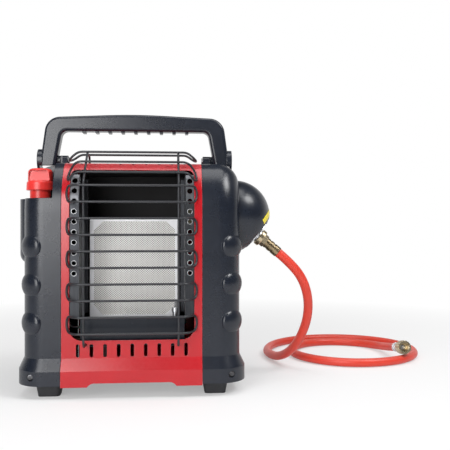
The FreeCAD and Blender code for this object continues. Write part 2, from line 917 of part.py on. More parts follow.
skirt_screws = []
for side in (-1, 1):
    spot = skirt_screw_x * side
    head = cylinder(size("skirt_screw_head"), 1.8,
                    (spot, size("skirt_seat") - 1.8, size("skirt_screw_z")), REAR)
    shank = cylinder(size("skirt_screw"), size("lug_front") - size("skirt_seat") + 9,
                     (spot, size("skirt_seat"), size("skirt_screw_z")), REAR)
    skirt_screws.append(fuse(head, shank))
skirt_screw_group = doc.addObject("Part::Compound", "SkirtScrews")
skirt_screw_group.Links = skirt_screws
finish(skirt_screw_group, "skirt_screws")

# Feet: four tapered rubber blocks, each with a neck up to the pan and a screw from below.
foot_screws = []
for label, side, back in (("foot_front_left", -1, "foot_front"), ("foot_front_right", 1, "foot_front"),
                          ("foot_rear_left", -1, "foot_rear"), ("foot_rear_right", 1, "foot_rear")):
    spot = (foot_x * side, size(back))
    foot = body("Foot")

    def foot_outline(shrink, level):
        across = size("foot_across") / 2 - shrink
        along = size("foot_along") / 2 - shrink
        return outline(foot, "XY_Plane", [
            (spot[0] - across, spot[1] - along, size("foot_radius") - shrink),
            (spot[0] + across, spot[1] - along, size("foot_radius") - shrink),
            (spot[0] + across, spot[1] + along, size("foot_radius") - shrink),
            (spot[0] - across, spot[1] + along, size("foot_radius") - shrink),
        ], level)

    sole = foot_outline(3, zero)
    crown = foot_outline(0, size("case_foot") - 1)
    loft = foot.newObject("PartDesign::AdditiveLoft", "Block")
    loft.Profile = sole
    loft.Sections = [(crown, [""])]
    loft.Ruled = True
    doc.recompute()
    pad(foot, circles(foot, "XY_Plane", [(spot[0], spot[1], size("foot_neck"))], size("case_foot") - 1),
        size("pan_level") - size("case_foot") + 1)
    pocket(foot, circles(foot, "XY_Plane", [(spot[0], spot[1], size("foot_screw"))]), 100, both=True)
    pocket(foot, circles(foot, "XY_Plane", [(spot[0], spot[1], size("foot_screw") * 2.2)]), 10, both=True)
    finish(foot, label)
    shank = cylinder(size("foot_screw"), size("pan_level") + size("pan_sheet") - 3, (spot[0], spot[1], 5))
    head = cylinder(size("foot_screw") * 2, 2, (spot[0], spot[1], 3))
    foot_screws.append(fuse(shank, head))
foot_screw_group = doc.addObject("Part::Compound", "FootScrews")
foot_screw_group.Links = foot_screws
finish(foot_screw_group, "foot_screws")

rear_screws = doc.addObject("Part::Compound", "RearScrews")
rear_screws.Links = [fuse(cylinder(1.7, 9, (x, depth - 8, z), REAR),
                          cylinder(3.6, 1.8, (x, depth + 0, z), REAR)) for x, z in rear_screw_spots]
finish(rear_screws, "rear_screws")

# Handle: an arched grip with finger ribs on two legs that lean inward.
handle = body("Handle")
bottom = top + size("top_gap")
arch = handle_top + 0.9
shoulder = handle_top - 4.6
handle_plan = outline(handle, "XZ_Plane", [
    (-leg_outer, bottom, None),
    (-leg_inner, bottom, None),
    (-leg_top_inner, grip_under, 9),
    (leg_top_inner, grip_under, 9),
    (leg_inner, bottom, None),
    (leg_outer, bottom, None),
    (leg_top_outer, shoulder, 22),
    (zero, arch, 900),
    (-leg_top_outer, shoulder, 22),
], -size("handle_front") - size("handle_depth"))
pad(handle, handle_plan, size("handle_depth"))
soften(handle, size("handle_edge"), lambda edge: edge.BoundBox.YLength < 0.01
       and edge.BoundBox.ZMax > number_of(bottom) + 1)
rib_left = size("rib_pitch") * (1 - size("rib_count")) / 2
ribs = outline(handle, "XZ_Plane", [
    (rib_left - size("rib_width") / 2, grip_under - size("rib_drop"), 1.2),
    (rib_left + size("rib_width") / 2, grip_under - size("rib_drop"), 1.2),
    (rib_left + size("rib_width") / 2, grip_under + 6, None),
    (rib_left - size("rib_width") / 2, grip_under + 6, None),
], -size("handle_front") - size("handle_depth") + 4)
rib = pad(handle, ribs, size("handle_depth") - 8)
repeat(handle, rib, "X_Axis", size("rib_pitch"), size("rib_count"))
pieces = [handle]
bores = []
for side in (-1, 1):
    start = leg_outer if side > 0 else (leg_outer + size("cheek_thick")) * -1
    pieces.append(cylinder(size("cheek_radius"), size("cheek_thick"),
                           (start, size("pivot_y"), pivot_z), RIGHT))
    start = leg_outer - 4 if side > 0 else leg_outer * -1
    backing = cylinder(size("cheek_radius"), zero + 4, (start, size("pivot_y"), pivot_z), RIGHT)
    above = box((start, size("pivot_y") - 20, bottom),
                (start + 4, size("pivot_y") + pivot_z - bottom, pivot_z + 20))
    pieces.append(common(backing, above))
    start = post_outer + 0.3 if side > 0 else (leg_inner + 2) * -1
    boss = leg_inner + 2 - post_outer - 0.3
    pieces.append(cylinder(size("post_round"), boss, (start, size("pivot_y"), pivot_z), RIGHT))
    start = post_outer if side > 0 else (leg_outer - 3) * -1
    bores.append(cylinder(size("pin_radius") + size("pin_fit"), leg_outer - post_outer - 3,
                          (start, size("pivot_y"), pivot_z), RIGHT))
heel = []
for side in (-1, 1):
    low_x = leg_inner - 1 if side > 0 else (leg_outer + 1) * -1
    span = leg_outer - leg_inner + 2
    block = box((low_x, size("pivot_y"), bottom - 1), (low_x + span, depth - 20, pivot_z))
    keep = cylinder(pivot_z - bottom, span, (low_x, size("pivot_y"), pivot_z), RIGHT)
    heel.append(cut(block, keep))
finish(cut(fuse(*pieces), *bores, *heel), "handle")

pins = doc.addObject("Part::Compound", "Pins")
pin_links = []
for side in (-1, 1):
    start = post_inner if side > 0 else (leg_outer - 4) * -1
    shank = cylinder(size("pin_radius"), leg_outer - 4 - post_inner,
                     (start, size("pivot_y"), pivot_z), RIGHT)
    start = post_inner - 2 if side > 0 else post_inner * -1
    head = cylinder(size("pin_radius") + 1.6, 2, (start, size("pivot_y"), pivot_z), RIGHT)
    pin_links.append(fuse(shank, head))
pins.Links = pin_links
finish(pins, "handle_pins")

# Wire guard: seven closed wire rings whose ends bend back to the panel, tied by two uprights.


def ring(middle, rise, back, depth_in):
    """One long ring. Middle is its centre, rise its short way up and back the way to the panel."""
    half = size("ring_gap").number / 2
    bend = size("ring_bend").number
    lift = 60 if depth_in > 15 else 38
    sine, cosine = math.sin(math.radians(lift)), math.cos(math.radians(lift))
    run = (depth_in - bend * (1 - cosine) - half * sine) / sine
    straight = size("ring_half").number - bend * sine - (run + half) * cosine
    edges = []
    for side in (1, -1):
        out = RIGHT * side
        along = out * cosine + back * sine
        inward = back * cosine - out * sine
        ends = []
        for up in (1, -1):
            base = middle + rise * (half * up)
            start = base + out * straight
            hub = start + back * bend
            bent = hub - inward * bend
            halfway = hub - (back + inward).normalize() * bend
            far = bent + along * run
            ends.append((start, halfway, bent, far))
        upper, lower = ends
        tip = (upper[3] + lower[3]) * 0.5 + along * half
        legs = [Part.Arc(upper[0], upper[1], upper[2]).toShape(),
                Part.LineSegment(upper[2], upper[3]).toShape(),
                Part.Arc(upper[3], tip, lower[3]).toShape(),
                Part.LineSegment(lower[3], lower[2]).toShape(),
                Part.Arc(lower[2], lower[1], lower[0]).toShape()]
        edges.append((legs, upper[0], lower[0]))
    right, left = edges
    path = Part.Wire(Part.__sortEdges__(
        [Part.LineSegment(left[1], right[1]).toShape()] + right[0]
        + [Part.LineSegment(right[2], left[2]).toShape()] + left[0]))
    return ring_tube(path)


def ring_tube(path):
    """A closed wire of round section."""
    first = path.Edges[0]
    middle = (first.FirstParameter + first.LastParameter) / 2
    section = Part.Wire(Part.Circle(first.valueAt(first.FirstParameter),
                                    first.tangentAt(middle), size("wire").number).toShape())
    return path.makePipeShell([section], True, False)


stand = size("guard_stand").number
clear = size("wire").number + size("seam_gap").number
ring_shapes = []
for step in range(int(size("ring_count").number)):
    level = size("ring_low").number + size("ring_pitch").number * step
    ring_shapes.append(ring(Vector(0, -stand, level), UP, REAR, stand - clear))
brow_rise = Vector(0, 15, 14.6).normalize()
ring_shapes.append(ring(Vector(0, -4.5, top.number - 8.7), brow_rise, Vector(0, brow_rise.z, -brow_rise.y), 19.3))
crown_rise = Vector(0, 21, -2).normalize()
ring_shapes.append(ring(Vector(0, 29.5, top.number + 12), crown_rise, Vector(0, crown_rise.z, -crown_rise.y), 9.8))
inner = stand - size("upright_step").number
for side in (-1, 1):
    across = size("upright_x").number * side
    hook = size("upright_hook").number
    route = [
        Vector(across, 6, hook),
        Vector(across, -inner, hook),
        Vector(across, -inner, top.number - 28.8),
        Vector(across, 18.9, top.number + 11),
        Vector(across, size("upright_leg").number, top.number + 8.8),
        Vector(across, size("upright_leg").number, top.number - 7),
    ]
    bend = size("upright_bend").number
    route_radii = [bend, bend, 5, 5]
    ring_shapes.append(tube_along(rounded_path(route, route_radii), size("wire").number))
guard_shape = ring_shapes[0].multiFuse(ring_shapes[1:])
finish(solid(guard_shape), "wire_guard")

# Burner box: the folded steel chamber behind the opening.
box_half = size("box_half")
liner = size("liner")
chamber = cut(
    box((-box_half, size("box_front"), size("box_low")), (box_half, size("box_back"), size("box_high"))),
    box((liner - box_half, size("box_front") - 5, size("box_low") + liner),
        (box_half - liner, size("box_back") - liner, size("box_high") - liner)),
    cylinder(size("mixer_radius") + 0.5, 10, (size("mixer_rise_x"), size("mixer_y"), size("box_low") - 5)))
finish(chamber, "burner_box")

# Side reflectors: bright channels with a row of holes in the front flange.


def reflector():
    owner = body("Reflector")
    face = size("sheet") + size("liner_gap")
    out = box_half - liner - size("liner_gap")
    flange = out + size("flange_outer")
    back = size("reflector_back")
    lip = size("reflector_lip")
    drawing = outline(owner, "XY_Plane", [
        (-flange, face, None),
        (-out + liner, face, None),
        (-out + liner, back - liner, None),
        (-out + lip, back - liner, None),
        (-out + lip, back, None),
        (-out, back, None),
        (-out, face + liner, None),
        (-flange, face + liner, None),
    ], size("reflector_low"))
    pad(owner, drawing, size("reflector_high") - size("reflector_low"))
    middle = (flange + out) / 2
    hole = pocket(owner, circles(owner, "XZ_Plane", [(-middle, size("flange_low"), size("flange_hole"))]),
                  30, both=True)
    repeat(owner, hole, "Z_Axis", size("flange_pitch"), size("flange_holes"))
    # The top of the flange leans back under the brow of the panel.
    brow = panel_block("ReflectorBrow", size("sheet") + size("liner_gap"), size("case_foot"),
                       size("panel_join"))
    return common(owner, brow)


left_reflector = finish(reflector(), "left_reflector")
finish(mirror(left_reflector), "right_reflector")

# Lower plate: the black fascia under the tile with a shelf that runs back to the burner.
lower = body("LowerPlate")
pad(lower, outline(lower, "YZ_Plane", [
    (size("plate_face"), size("plate_low"), None),
    (size("plate_face") + liner, size("plate_low"), None),
    (size("plate_face") + liner, size("plate_high") - liner, None),
    (size("box_front") - 1, size("plate_high") - liner - 5, None),
    (size("box_front") - 1, size("plate_high") - 5, None),
    (size("plate_face") + liner, size("plate_high"), 0.8),
    (size("plate_face"), size("plate_high"), 0.8),
]), size("plate_half") * 2, both=True)
feet_of_plate = [box((x - 4, size("sheet") + 0, size("plate_low")),
                     (x + 4, size("plate_face") + 0.5, size("plate_low") + liner)) for x in (-50, 50)]
finish(fuse(lower, *feet_of_plate), "lower_plate")

# Radiant burner: frame, perforated tile, plenum and mixing tube.
frame_half = size("tile_half") + size("frame_lap")
frame_low = size("tile_low") - size("frame_lap")
frame_high = size("tile_high") + size("frame_lap")
frame_body = body("BurnerFrame")
face = size("frame_face")
pad(frame_body, outline(frame_body, "XZ_Plane", [
    (-frame_half, frame_low, 5),
    (frame_half, frame_low, 5),
    (frame_half, frame_high, 5),
    (-frame_half, frame_high, 5),
], -face - 9), 9)
border = size("frame_border")
bevel = size("frame_corner")
left, right = border - frame_half, frame_half - border
low, high = frame_low + border, frame_high - border
pocket(frame_body, outline(frame_body, "XZ_Plane", [
    (left, low + bevel, None),
    (left + bevel, low, None),
    (right - bevel, low, None),
    (right, low + bevel, None),
    (right, high - bevel, None),
    (right - bevel, high, None),
    (left + bevel, high, None),
    (left, high - bevel, None),
]), 200, both=True)
inside = size("frame_thick")
pocket(frame_body, outline(frame_body, "XZ_Plane", [
    (inside - frame_half, frame_low + inside, None),
    (frame_half - inside, frame_low + inside, None),
    (frame_half - inside, frame_high - inside, None),
    (inside - frame_half, frame_high - inside, None),
], -face - 20), 20 - inside, reverse=True)
finish(frame_body, "burner_frame")

tile_face = face + size("frame_thick")
finish(box((-size("tile_half"), tile_face, size("tile_low")),
           (size("tile_half"), tile_face + size("tile_thick"), size("tile_high"))), "ceramic_tile")

plenum_front = tile_face + size("tile_thick")
plenum_back = plenum_front + size("plenum_depth")
plenum = cut(
    box((-size("tile_half"), plenum_front, size("tile_low")),
        (size("tile_half"), plenum_back, size("tile_high"))),
    box((2 - size("tile_half"), plenum_front - 1, size("tile_low") + 2),
        (size("tile_half") - 2, plenum_back - 1.5, size("tile_high") - 2)),
    cylinder(size("mixer_radius") + 0.1, 8, (size("mixer_rise_x"), size("mixer_y"), size("tile_low") - 4)))
bracket_back = box((-20, plenum_back, 150), (20, size("box_back") - liner - 0.1, 152))
finish(fuse(plenum, bracket_back), "burner_plenum")

mixer_path = rounded_path([
    Vector(-size("mixer_left").number, size("mixer_y").number, size("mixer_z").number),
    Vector(size("mixer_rise_x").number, size("mixer_y").number, size("mixer_z").number),
    Vector(size("mixer_rise_x").number, size("mixer_y").number, size("tile_low").number + 1),
], size("mixer_bend").number)
mixer_shape = tube_along(mixer_path, size("mixer_radius").number).cut(
    tube_along(mixer_path, size("mixer_radius").number - size("mixer_wall").number))
mixer_mouth = Part.makeCone(size("mixer_radius").number + 4, size("mixer_radius").number, 9,
                            Vector(-size("mixer_left").number - 8, size("mixer_y").number,
                                   size("mixer_z").number), RIGHT)
mixer_throat = Part.makeCone(size("mixer_radius").number + 3, size("mixer_radius").number - 1, 9.2,
                             Vector(-size("mixer_left").number - 8.1, size("mixer_y").number,
                                    size("mixer_z").number), RIGHT)
mixer_saddle = Part.makeBox(14, 12, size("mixer_z").number - size("mixer_radius").number + 0.5
                            - size("pan_level").number - size("pan_sheet").number,
                            Vector(-47, size("mixer_y").number - 6,
                                   size("pan_level").number + size("pan_sheet").number))
finish(solid(mixer_shape.fuse([mixer_mouth.cut(mixer_throat), mixer_saddle])), "mixing_tube")

orifice_y, orifice_z = size("mixer_y"), size("mixer_z")
orifice_x = size("mixer_left") * -1 - 24
orifice = fuse(hexagon(6, 10, (orifice_x, orifice_y, orifice_z), RIGHT),
               cylinder(3.5, 10, (orifice_x + 9, orifice_y, orifice_z), RIGHT))
orifice_bore = cylinder(0.8, 30, (orifice_x - 2, orifice_y, orifice_z), RIGHT)
finish(cut(orifice, orifice_bore), "main_orifice")
bracket_x = orifice_x + 10.3
finish(cut(fuse(box((bracket_x, orifice_y - 9, size("pan_level") + size("pan_sheet")),
                    (bracket_x + 1.5, orifice_y + 9, orifice_z + 10)),
                box((bracket_x, orifice_y - 9, size("pan_level") + size("pan_sheet")),
                    (bracket_x + 14, orifice_y + 9, size("pan_level") + size("pan_sheet") + 1.5))),
           cylinder(3.8, 12, (bracket_x - 4, orifice_y, orifice_z), RIGHT)), "orifice_bracket")

# Pilot group at the lower right of the burner.
pilot_x, pilot_y = box_half - size("pilot_x"), size("pilot_y")
pilot_low = size("box_low") + liner
pilot = fuse(cylinder(4, size("pilot_top") - pilot_low - 6, (pilot_x, pilot_y, pilot_low)),
             cylinder(5.2, 6, (pilot_x, pilot_y, size("pilot_top") - 6)),
             box((pilot_x - 8, pilot_y - 6, pilot_low), (pilot_x + 8, pilot_y + 22, pilot_low + 1.5)))
pilot_jet = cylinder(2.4, 5, (pilot_x, pilot_y, size("pilot_top") - 4))
finish(cut(pilot, pilot_jet), "pilot_burner")
finish(fuse(cylinder(1.6, size("pilot_top") + 6 - pilot_low - 1.5, (pilot_x, pilot_y + 10, pilot_low + 1.5)),
            cylinder(3, 9, (pilot_x, pilot_y + 10, pilot_low + 1.5))), "thermocouple")
finish(fuse(cylinder(2.8, 16, (pilot_x, pilot_y + 18, pilot_low + 1.5)),
            cylinder(0.9, size("pilot_top") + 8 - pilot_low - 1.5,
                     (pilot_x, pilot_y + 18, pilot_low + 1.5))), "igniter_electrode")

# Gas valve under the knob, its bracket, stem and spring.
pod_at = (-pod_x, size("pod_y"))
valve_top, valve_low = size("valve_top"), size("valve_low")
valve = fuse(
    cylinder(size("valve_radius"), valve_top - valve_low, (*pod_at, valve_low)),
    cylinder(7, 10, (*pod_at, valve_top - 2)),
    cylinder(4.5, 26, (pod_at[0], pod_at[1], valve_low + 14), RIGHT),
    cylinder(4.5, 25, (pod_at[0], pod_at[1], valve_low + 22), REAR),
    cylinder(6, 8, (*pod_at, valve_low - 7)))
stem_bore = cylinder(size("stem_radius") + size("stem_fit"), 34, (*pod_at, valve_top - 22))
finish(cut(valve, stem_bore), "gas_valve")
bracket_z = valve_top
finish(cut(fuse(box((pod_at[0] - 8, pod_at[1] - 12, bracket_z), (-box_half - 0.3, pod_at[1] + 52, bracket_z + 1.5)),
                box((-box_half - 1.8, pod_at[1] - 12, bracket_z - 20), (-box_half - 0.3, pod_at[1] + 52, bracket_z))),
           cylinder(7.3, 10, (*pod_at, bracket_z - 4))), "valve_bracket")
stem_top = size("knob_skirt_low")
collar_low = valve_top + 9.5 + size("knob_travel")
stem = fuse(cylinder(size("stem_radius"), stem_top - valve_top + 14, (*pod_at, valve_top - 14)),
            cylinder(size("spring_radius") + 1, 1.5, (*pod_at, collar_low)))
finish(stem, "valve_stem")

# Knob: a neck, a flared skirt and a flat sided grip with a rounded crown.
knob_low = size("pod_top") - size("knob_sink") + 2.2
knob = turned("Knob", [
    flat(zero, knob_low),
    flat(size("knob_neck"), knob_low),
    flat(size("knob_neck"), size("knob_skirt_low")),
    (size("knob_skirt"), size("knob_skirt_low"), 1),
    (size("knob_skirt") - 0.6, size("knob_skirt_high"), 2.5),
    (size("knob_grip"), size("knob_skirt_high") + 0.6, 0.5),
    (size("knob_grip"), size("knob_top"), 6),
    flat(zero, size("knob_top")),
], (pod_at[0], pod_at[1], 0))
for side in (-1, 1):
    depth_of_flat = size("knob_grip_half")
    flank = outline(knob, "XZ_Plane", [
        (-size("knob_grip") + 2.4, size("knob_skirt_high") + 1.4, 2),
        (size("knob_grip") - 2.4, size("knob_skirt_high") + 1.4, 2),
        (size("knob_grip") - 4.2, size("knob_top") - 2.6, 3.5),
        (-size("knob_grip") + 4.2, size("knob_top") - 2.6, 3.5),
    ], depth_of_flat * side)
    pocket(knob, flank, 30, reverse=side > 0)
pocket(knob, circles(knob, "XY_Plane", [(zero, zero, size("stem_radius") + 0.05)], knob_low),
       stem_top - knob_low, reverse=True)
pocket(knob, circles(knob, "XY_Plane", [(zero, zero, size("knob_neck") - 2)], knob_low),
       8, reverse=True)
finish(knob, "knob")

# Knob spring: the coil between the valve's bracket and the collar of the stem, as its outer form.
spring_low = bracket_z + 1.5
finish(cut(cylinder(size("spring_radius"), collar_low - spring_low, (*pod_at, spring_low)),
           cylinder(size("spring_radius") - 1.4, collar_low - spring_low + 2, (*pod_at, spring_low - 1))),
       "knob_spring")

# Ignition crystal beside the valve, hung from the same bracket.
finish(fuse(cylinder(6, 34, (pod_at[0] + 32, pod_at[1] + 32, bracket_z - 34)),
            cylinder(3, 6, (pod_at[0] + 32, pod_at[1] + 32, bracket_z - 40))), "piezo_igniter")

# Tip over switch on the pan, under the right housing.
switch_low = size("pan_level") + size("pan_sheet")
switch_x, switch_y = seam + size("switch_x"), size("switch_y")
finish(fuse(box((switch_x - 12, switch_y - 15, switch_low), (switch_x + 12, switch_y + 15, switch_low + 22)),
            box((switch_x - 18, switch_y - 9, switch_low), (switch_x + 18, switch_y + 9, switch_low + 2)),
            cylinder(5, 6, (switch_x, switch_y, switch_low + 22))), "tip_over_switch")

# Regulator dome: a hollow ball sliced on a slant, with a hub that turns in the housing.
tilt = math.radians(size("dome_tilt").number)
inlet_axis = Vector(math.cos(tilt), 0, -math.sin(tilt))
dome_at = Vector(dome_x.number, size("dome_y").number, size("dome_z").number)
cut_reach = size("dome_cut").number
ball = Part.makeSphere(size("dome_radius").number, dome_at)
hollow = Part.makeSphere(size("dome_radius").number - size("dome_wall").number, dome_at)
seat_x = dome_seat_x.number
room = Part.makeBox(120, 120, 120, Vector(seat_x, dome_at.y - 60, dome_at.z - 60))
inner_room = Part.makeBox(120, 120, 120, Vector(seat_x + size("dome_wall").number, dome_at.y - 60, dome_at.z - 60))
face_plate = Part.makeCylinder(90, 80, dome_at + inlet_axis * cut_reach, inlet_axis)
mouth = Part.makeCylinder(size("regulator_radius").number + 0.3, 40,
                          dome_at + inlet_axis * (cut_reach - 16), inlet_axis)
hub = Part.makeCylinder(size("spigot_radius").number, size("spigot_reach").number + 1,
                        Vector(seat_x - size("spigot_reach").number, dome_at.y, dome_at.z), RIGHT)
hub_bore = Part.makeCylinder(size("spigot_radius").number - 2.5, 60,
                             Vector(seat_x - 30, dome_at.y, dome_at.z), RIGHT)
cheek = Part.makeCylinder(size("regulator_radius").number + 2.8, 14,
                          dome_at + inlet_axis * (cut_reach - 14), inlet_axis)
dome_shape = ball.common(room).cut(hollow.common(inner_room)).fuse(cheek.common(ball)).cut(face_plate)
dome_shape = dome_shape.cut(mouth).fuse(hub).cut(hub_bore)
finish(solid(dome_shape.removeSplitter()), "regulator_cover")

# Regulator: the pressed metal body inside the dome with its inlet plate and outlet elbow.
plate_at = dome_at + inlet_axis * cut_reach
drum = Part.makeCylinder(size("regulator_radius").number, 12, plate_at - inlet_axis * 12, inlet_axis)
drum_back = Part.makeCone(12, size("regulator_radius").number - 4, 14, plate_at - inlet_axis * 26, inlet_axis)
elbow_start = plate_at - inlet_axis * 24
outlet = tube_along(rounded_path([elbow_start, dome_at + Vector(0, 0, 0), Vector(seat_x - 6, dome_at.y, dome_at.z)], 9),
                    5.5)
finish(solid(drum.fuse([drum_back, outlet])), "regulator_body")
disc = Part.makeCylinder(size("regulator_radius").number - 1.5, size("inlet_plate").number, plate_at, inlet_axis)
disc_socket = Part.makeCylinder(7, 10, plate_at - inlet_axis, inlet_axis)
inlet_socket = Part.makeCylinder(9.5, 4, plate_at + inlet_axis * size("inlet_plate").number, inlet_axis)
finish(solid(disc.fuse(inlet_socket).cut(disc_socket)), "inlet_plate")

# Hose end fittings at the regulator.
nut_at = plate_at + inlet_axis * (size("inlet_plate").number + 4)
nut = Part.makeCylinder(size("hose_nut").number, size("hose_nut_length").number, nut_at, inlet_axis)
nut_edges = [edge for edge in nut.Edges if edge.Curve.TypeId == "Part::GeomCircle"]
nut = nut.makeChamfer(1, nut_edges)
hex_at = nut_at + inlet_axis * size("hose_nut_length").number
hex_points = [Vector(size("hose_hex").number * math.cos(math.radians(60 * k)),
                     size("hose_hex").number * math.sin(math.radians(60 * k)), 0) for k in range(7)]
hex_shape = Part.Face(Part.makePolygon(hex_points)).extrude(Vector(0, 0, size("hose_hex_length").number))
hex_shape.Placement = Placement(hex_at, Rotation(UP, inlet_axis))
finish(solid(nut.fuse(hex_shape)), "hose_nut")
ferrule_at = hex_at + inlet_axis * size("hose_hex_length").number


def ferrule_form(at, axis, length):
    """A crimped sleeve: a smooth collar, two pressed waists and a lip."""
    big, small = size("ferrule").number, size("ferrule").number - 0.7
    piece = Part.makeCylinder(small, length, at, axis)
    for start, span in ((0, 0.16), (0.3, 0.2), (0.62, 0.38)):
        piece = piece.fuse(Part.makeCylinder(big, length * span, at + axis * (length * start), axis))
    return piece


finish(solid(ferrule_form(ferrule_at, inlet_axis, size("ferrule_length").number)), "hose_ferrule")

# Supply hose: straight runs joined by the largest arcs that they allow.
hose_start = ferrule_at + inlet_axis * size("ferrule_length").number
lead = hose_start + inlet_axis * size("hose_lead").number
route = [hose_start, lead] + [Vector(*spot) for spot in HOSE_ROUTE]
bends = []
for index in range(1, len(route) - 1):
    before = route[index - 1] - route[index]
    after = route[index + 1] - route[index]
    turn = math.pi - before.getAngle(after)
    bends.append(0.45 * min(before.Length, after.Length) / math.tan(turn / 2))
hose_path = rounded_path(route, bends)
hose_shape = tube_along(hose_path, size("hose").number)
hose_volume = math.pi * size("hose").number ** 2 * hose_path.Length
print("hose length", round(hose_path.Length, 1), "least bend", round(min(bends), 1))
print("hose bends", [round(bend) for bend in bends])
print("hose volume ratio", round(hose_shape.Volume / hose_volume, 5))
finish(solid(hose_shape), "gas_hose")

# Far end of the hose: its ferrule and the hand nut for the bottle.
end_axis = (route[-1] - route[-2]).normalize()
end_ferrule = ferrule_form(route[-1], end_axis, size("ferrule_length").number)
stem_at = route[-1] + end_axis * size("ferrule_length").number
nut_stem = Part.makeCylinder(size("nut_stem").number, 7, stem_at - end_axis, end_axis)
finish(solid(end_ferrule.fuse(nut_stem)), "end_ferrule")
grip_at = stem_at + end_axis * size("seam_gap").number
grip_radius, grip_length = size("bottle_nut").number, size("bottle_nut_length").number
grip = Part.makeCylinder(grip_radius - 0.8, grip_length, grip_at, end_axis)
tooth = Part.makeBox(1.6, 2.2, grip_length - 4)
teeth = []
for index in range(18):
    piece = tooth.copy()
    piece.translate(Vector(-0.8, grip_radius - 2.2, 2))
    piece.rotate(Vector(0, 0, 0), UP, 20 * index)
    piece.Placement = Placement(grip_at, Rotation(UP, end_axis)).multiply(piece.Placement)
    teeth.append(piece)
socket = Part.makeCylinder(grip_radius - 3.6, grip_length, grip_at + end_axis * 7, end_axis)
stem_room = Part.makeCylinder(size("nut_stem").number + size("stem_fit").number, 12, grip_at - end_axis, end_axis)
finish(solid(grip.multiFuse(teeth).cut(socket).cut(stem_room)), "bottle_nut")
print("bottle socket mouth", grip_at + end_axis * grip_length, "axis", end_axis)

# Gas lines: from the regulator's swivel to the valve, and from the valve to the two burners.
swivel_x = seat_x - size("spigot_reach").number
line = size("tube").number
supply = rounded_path([
    Vector(swivel_x - 14, dome_at.y, dome_at.z),
    Vector(swivel_x - 31, dome_at.y, dome_at.z),
    Vector(swivel_x - 31, dome_at.y + 2, dome_at.z - 32),
    Vector(swivel_x - 31, 139, dome_at.z - 32),
    Vector(-95, 139, dome_at.z - 32),
    Vector(-118, 112, size("valve_low").number + 22),
    Vector(-pod_x.number, size("pod_y").number + 36, size("valve_low").number + 22),
    Vector(-pod_x.number, size("pod_y").number + 25, size("valve_low").number + 22),
], [8, 10, 14, 16, 14, 3])
finish(solid(tube_along(supply, line)), "supply_tube")
swivel = Part.makeCylinder(7, 13.7, Vector(swivel_x - 14, dome_at.y, dome_at.z), RIGHT)
swivel_boss = Part.makeBox(1.6, 40, 30, Vector(swivel_x - 8, dome_at.y - 20, dome_at.z - 15))
swivel_arm = Part.makeBox(swivel_x - 8 - box_half.number - 0.3 + 1.6, 1.6, 30,
                          Vector(box_half.number + 0.3, dome_at.y + 18.4, dome_at.z - 15))
finish(solid(swivel.fuse([swivel_boss, swivel_arm])), "swivel_fitting")

burner_line = rounded_path([
    Vector(-pod_x.number, size("pod_y").number, size("valve_low").number - 7),
    Vector(-pod_x.number, size("pod_y").number, 110),
    Vector(-pod_x.number + 4, size("mixer_y").number, 78),
    Vector(orifice_x.number - 20, size("mixer_y").number, size("mixer_z").number),
    Vector(orifice_x.number, size("mixer_y").number, size("mixer_z").number),
], [20, 14, 9])
finish(solid(tube_along(burner_line, line)), "burner_tube")
pilot_line = rounded_path([
    Vector(-pod_x.number + 26, size("pod_y").number, size("valve_low").number + 14),
    Vector(-93, size("pod_y").number, size("valve_low").number + 14),
    Vector(-90, 52, 84),
    Vector(0, 46, 84),
    Vector(pilot_x.number, pilot_y.number, 80),
    Vector(pilot_x.number, pilot_y.number, pilot_low.number - liner.number),
], [8, 10, 18, 5])
print("pilot line", round(pilot_line.Length, 1))
pilot_pipe = tube_along(pilot_line, line / 2)
finish(solid(pilot_pipe), "pilot_tube")

doc.recompute()
for item in doc.Objects:
    if {"Invalid", "Error"} & set(item.State):
        raise ValueError(f"{item.Name} ({item.Label}) is in state {item.State}")
for node in nodes:
    shape = node.Shape
    if shape.isNull() or not shape.isValid():
        raise ValueError(f"{node.Label} has no valid shape")
    shape.exportStep(f"parts/{node.Label}.step")
print(len(nodes), "sub-parts written")
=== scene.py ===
import math

import bpy
from mathutils import Matrix, Vector


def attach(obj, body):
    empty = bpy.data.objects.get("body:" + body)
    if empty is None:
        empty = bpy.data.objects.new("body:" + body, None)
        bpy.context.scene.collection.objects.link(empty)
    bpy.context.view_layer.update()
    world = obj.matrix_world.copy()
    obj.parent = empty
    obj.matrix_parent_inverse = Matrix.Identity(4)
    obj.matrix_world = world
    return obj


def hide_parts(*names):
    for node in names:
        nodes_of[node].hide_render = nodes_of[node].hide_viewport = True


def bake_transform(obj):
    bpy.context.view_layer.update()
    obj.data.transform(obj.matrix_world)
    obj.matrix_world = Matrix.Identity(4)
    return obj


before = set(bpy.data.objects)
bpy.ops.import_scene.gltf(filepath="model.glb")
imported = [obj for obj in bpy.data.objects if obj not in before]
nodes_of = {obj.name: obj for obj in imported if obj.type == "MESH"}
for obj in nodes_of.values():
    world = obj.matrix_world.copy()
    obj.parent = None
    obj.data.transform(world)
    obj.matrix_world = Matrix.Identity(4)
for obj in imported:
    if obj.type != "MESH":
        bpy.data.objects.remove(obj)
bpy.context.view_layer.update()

# Camera: it stands in front and a little to the right, level with the middle of the case, and
# looks slightly to the right as well, so that the hose's turns on the floor come into view.
camera_place = (0.02504, -0.92751, 0.224)
camera_turn = -4.652
camera_data = bpy.data.cameras.new("camera")
camera_data.lens = 52.4
camera_data.sensor_width = 36.0
camera_data.clip_start = 0.05
camera = bpy.data.objects.new("camera", camera_data)
camera.location = camera_place
camera.rotation_euler = (math.radians(90), 0, math.radians(camera_turn))
bpy.context.scene.collection.objects.link(camera)
bpy.context.scene.camera = camera
bpy.context.scene.view_settings.view_transform = "Standard"


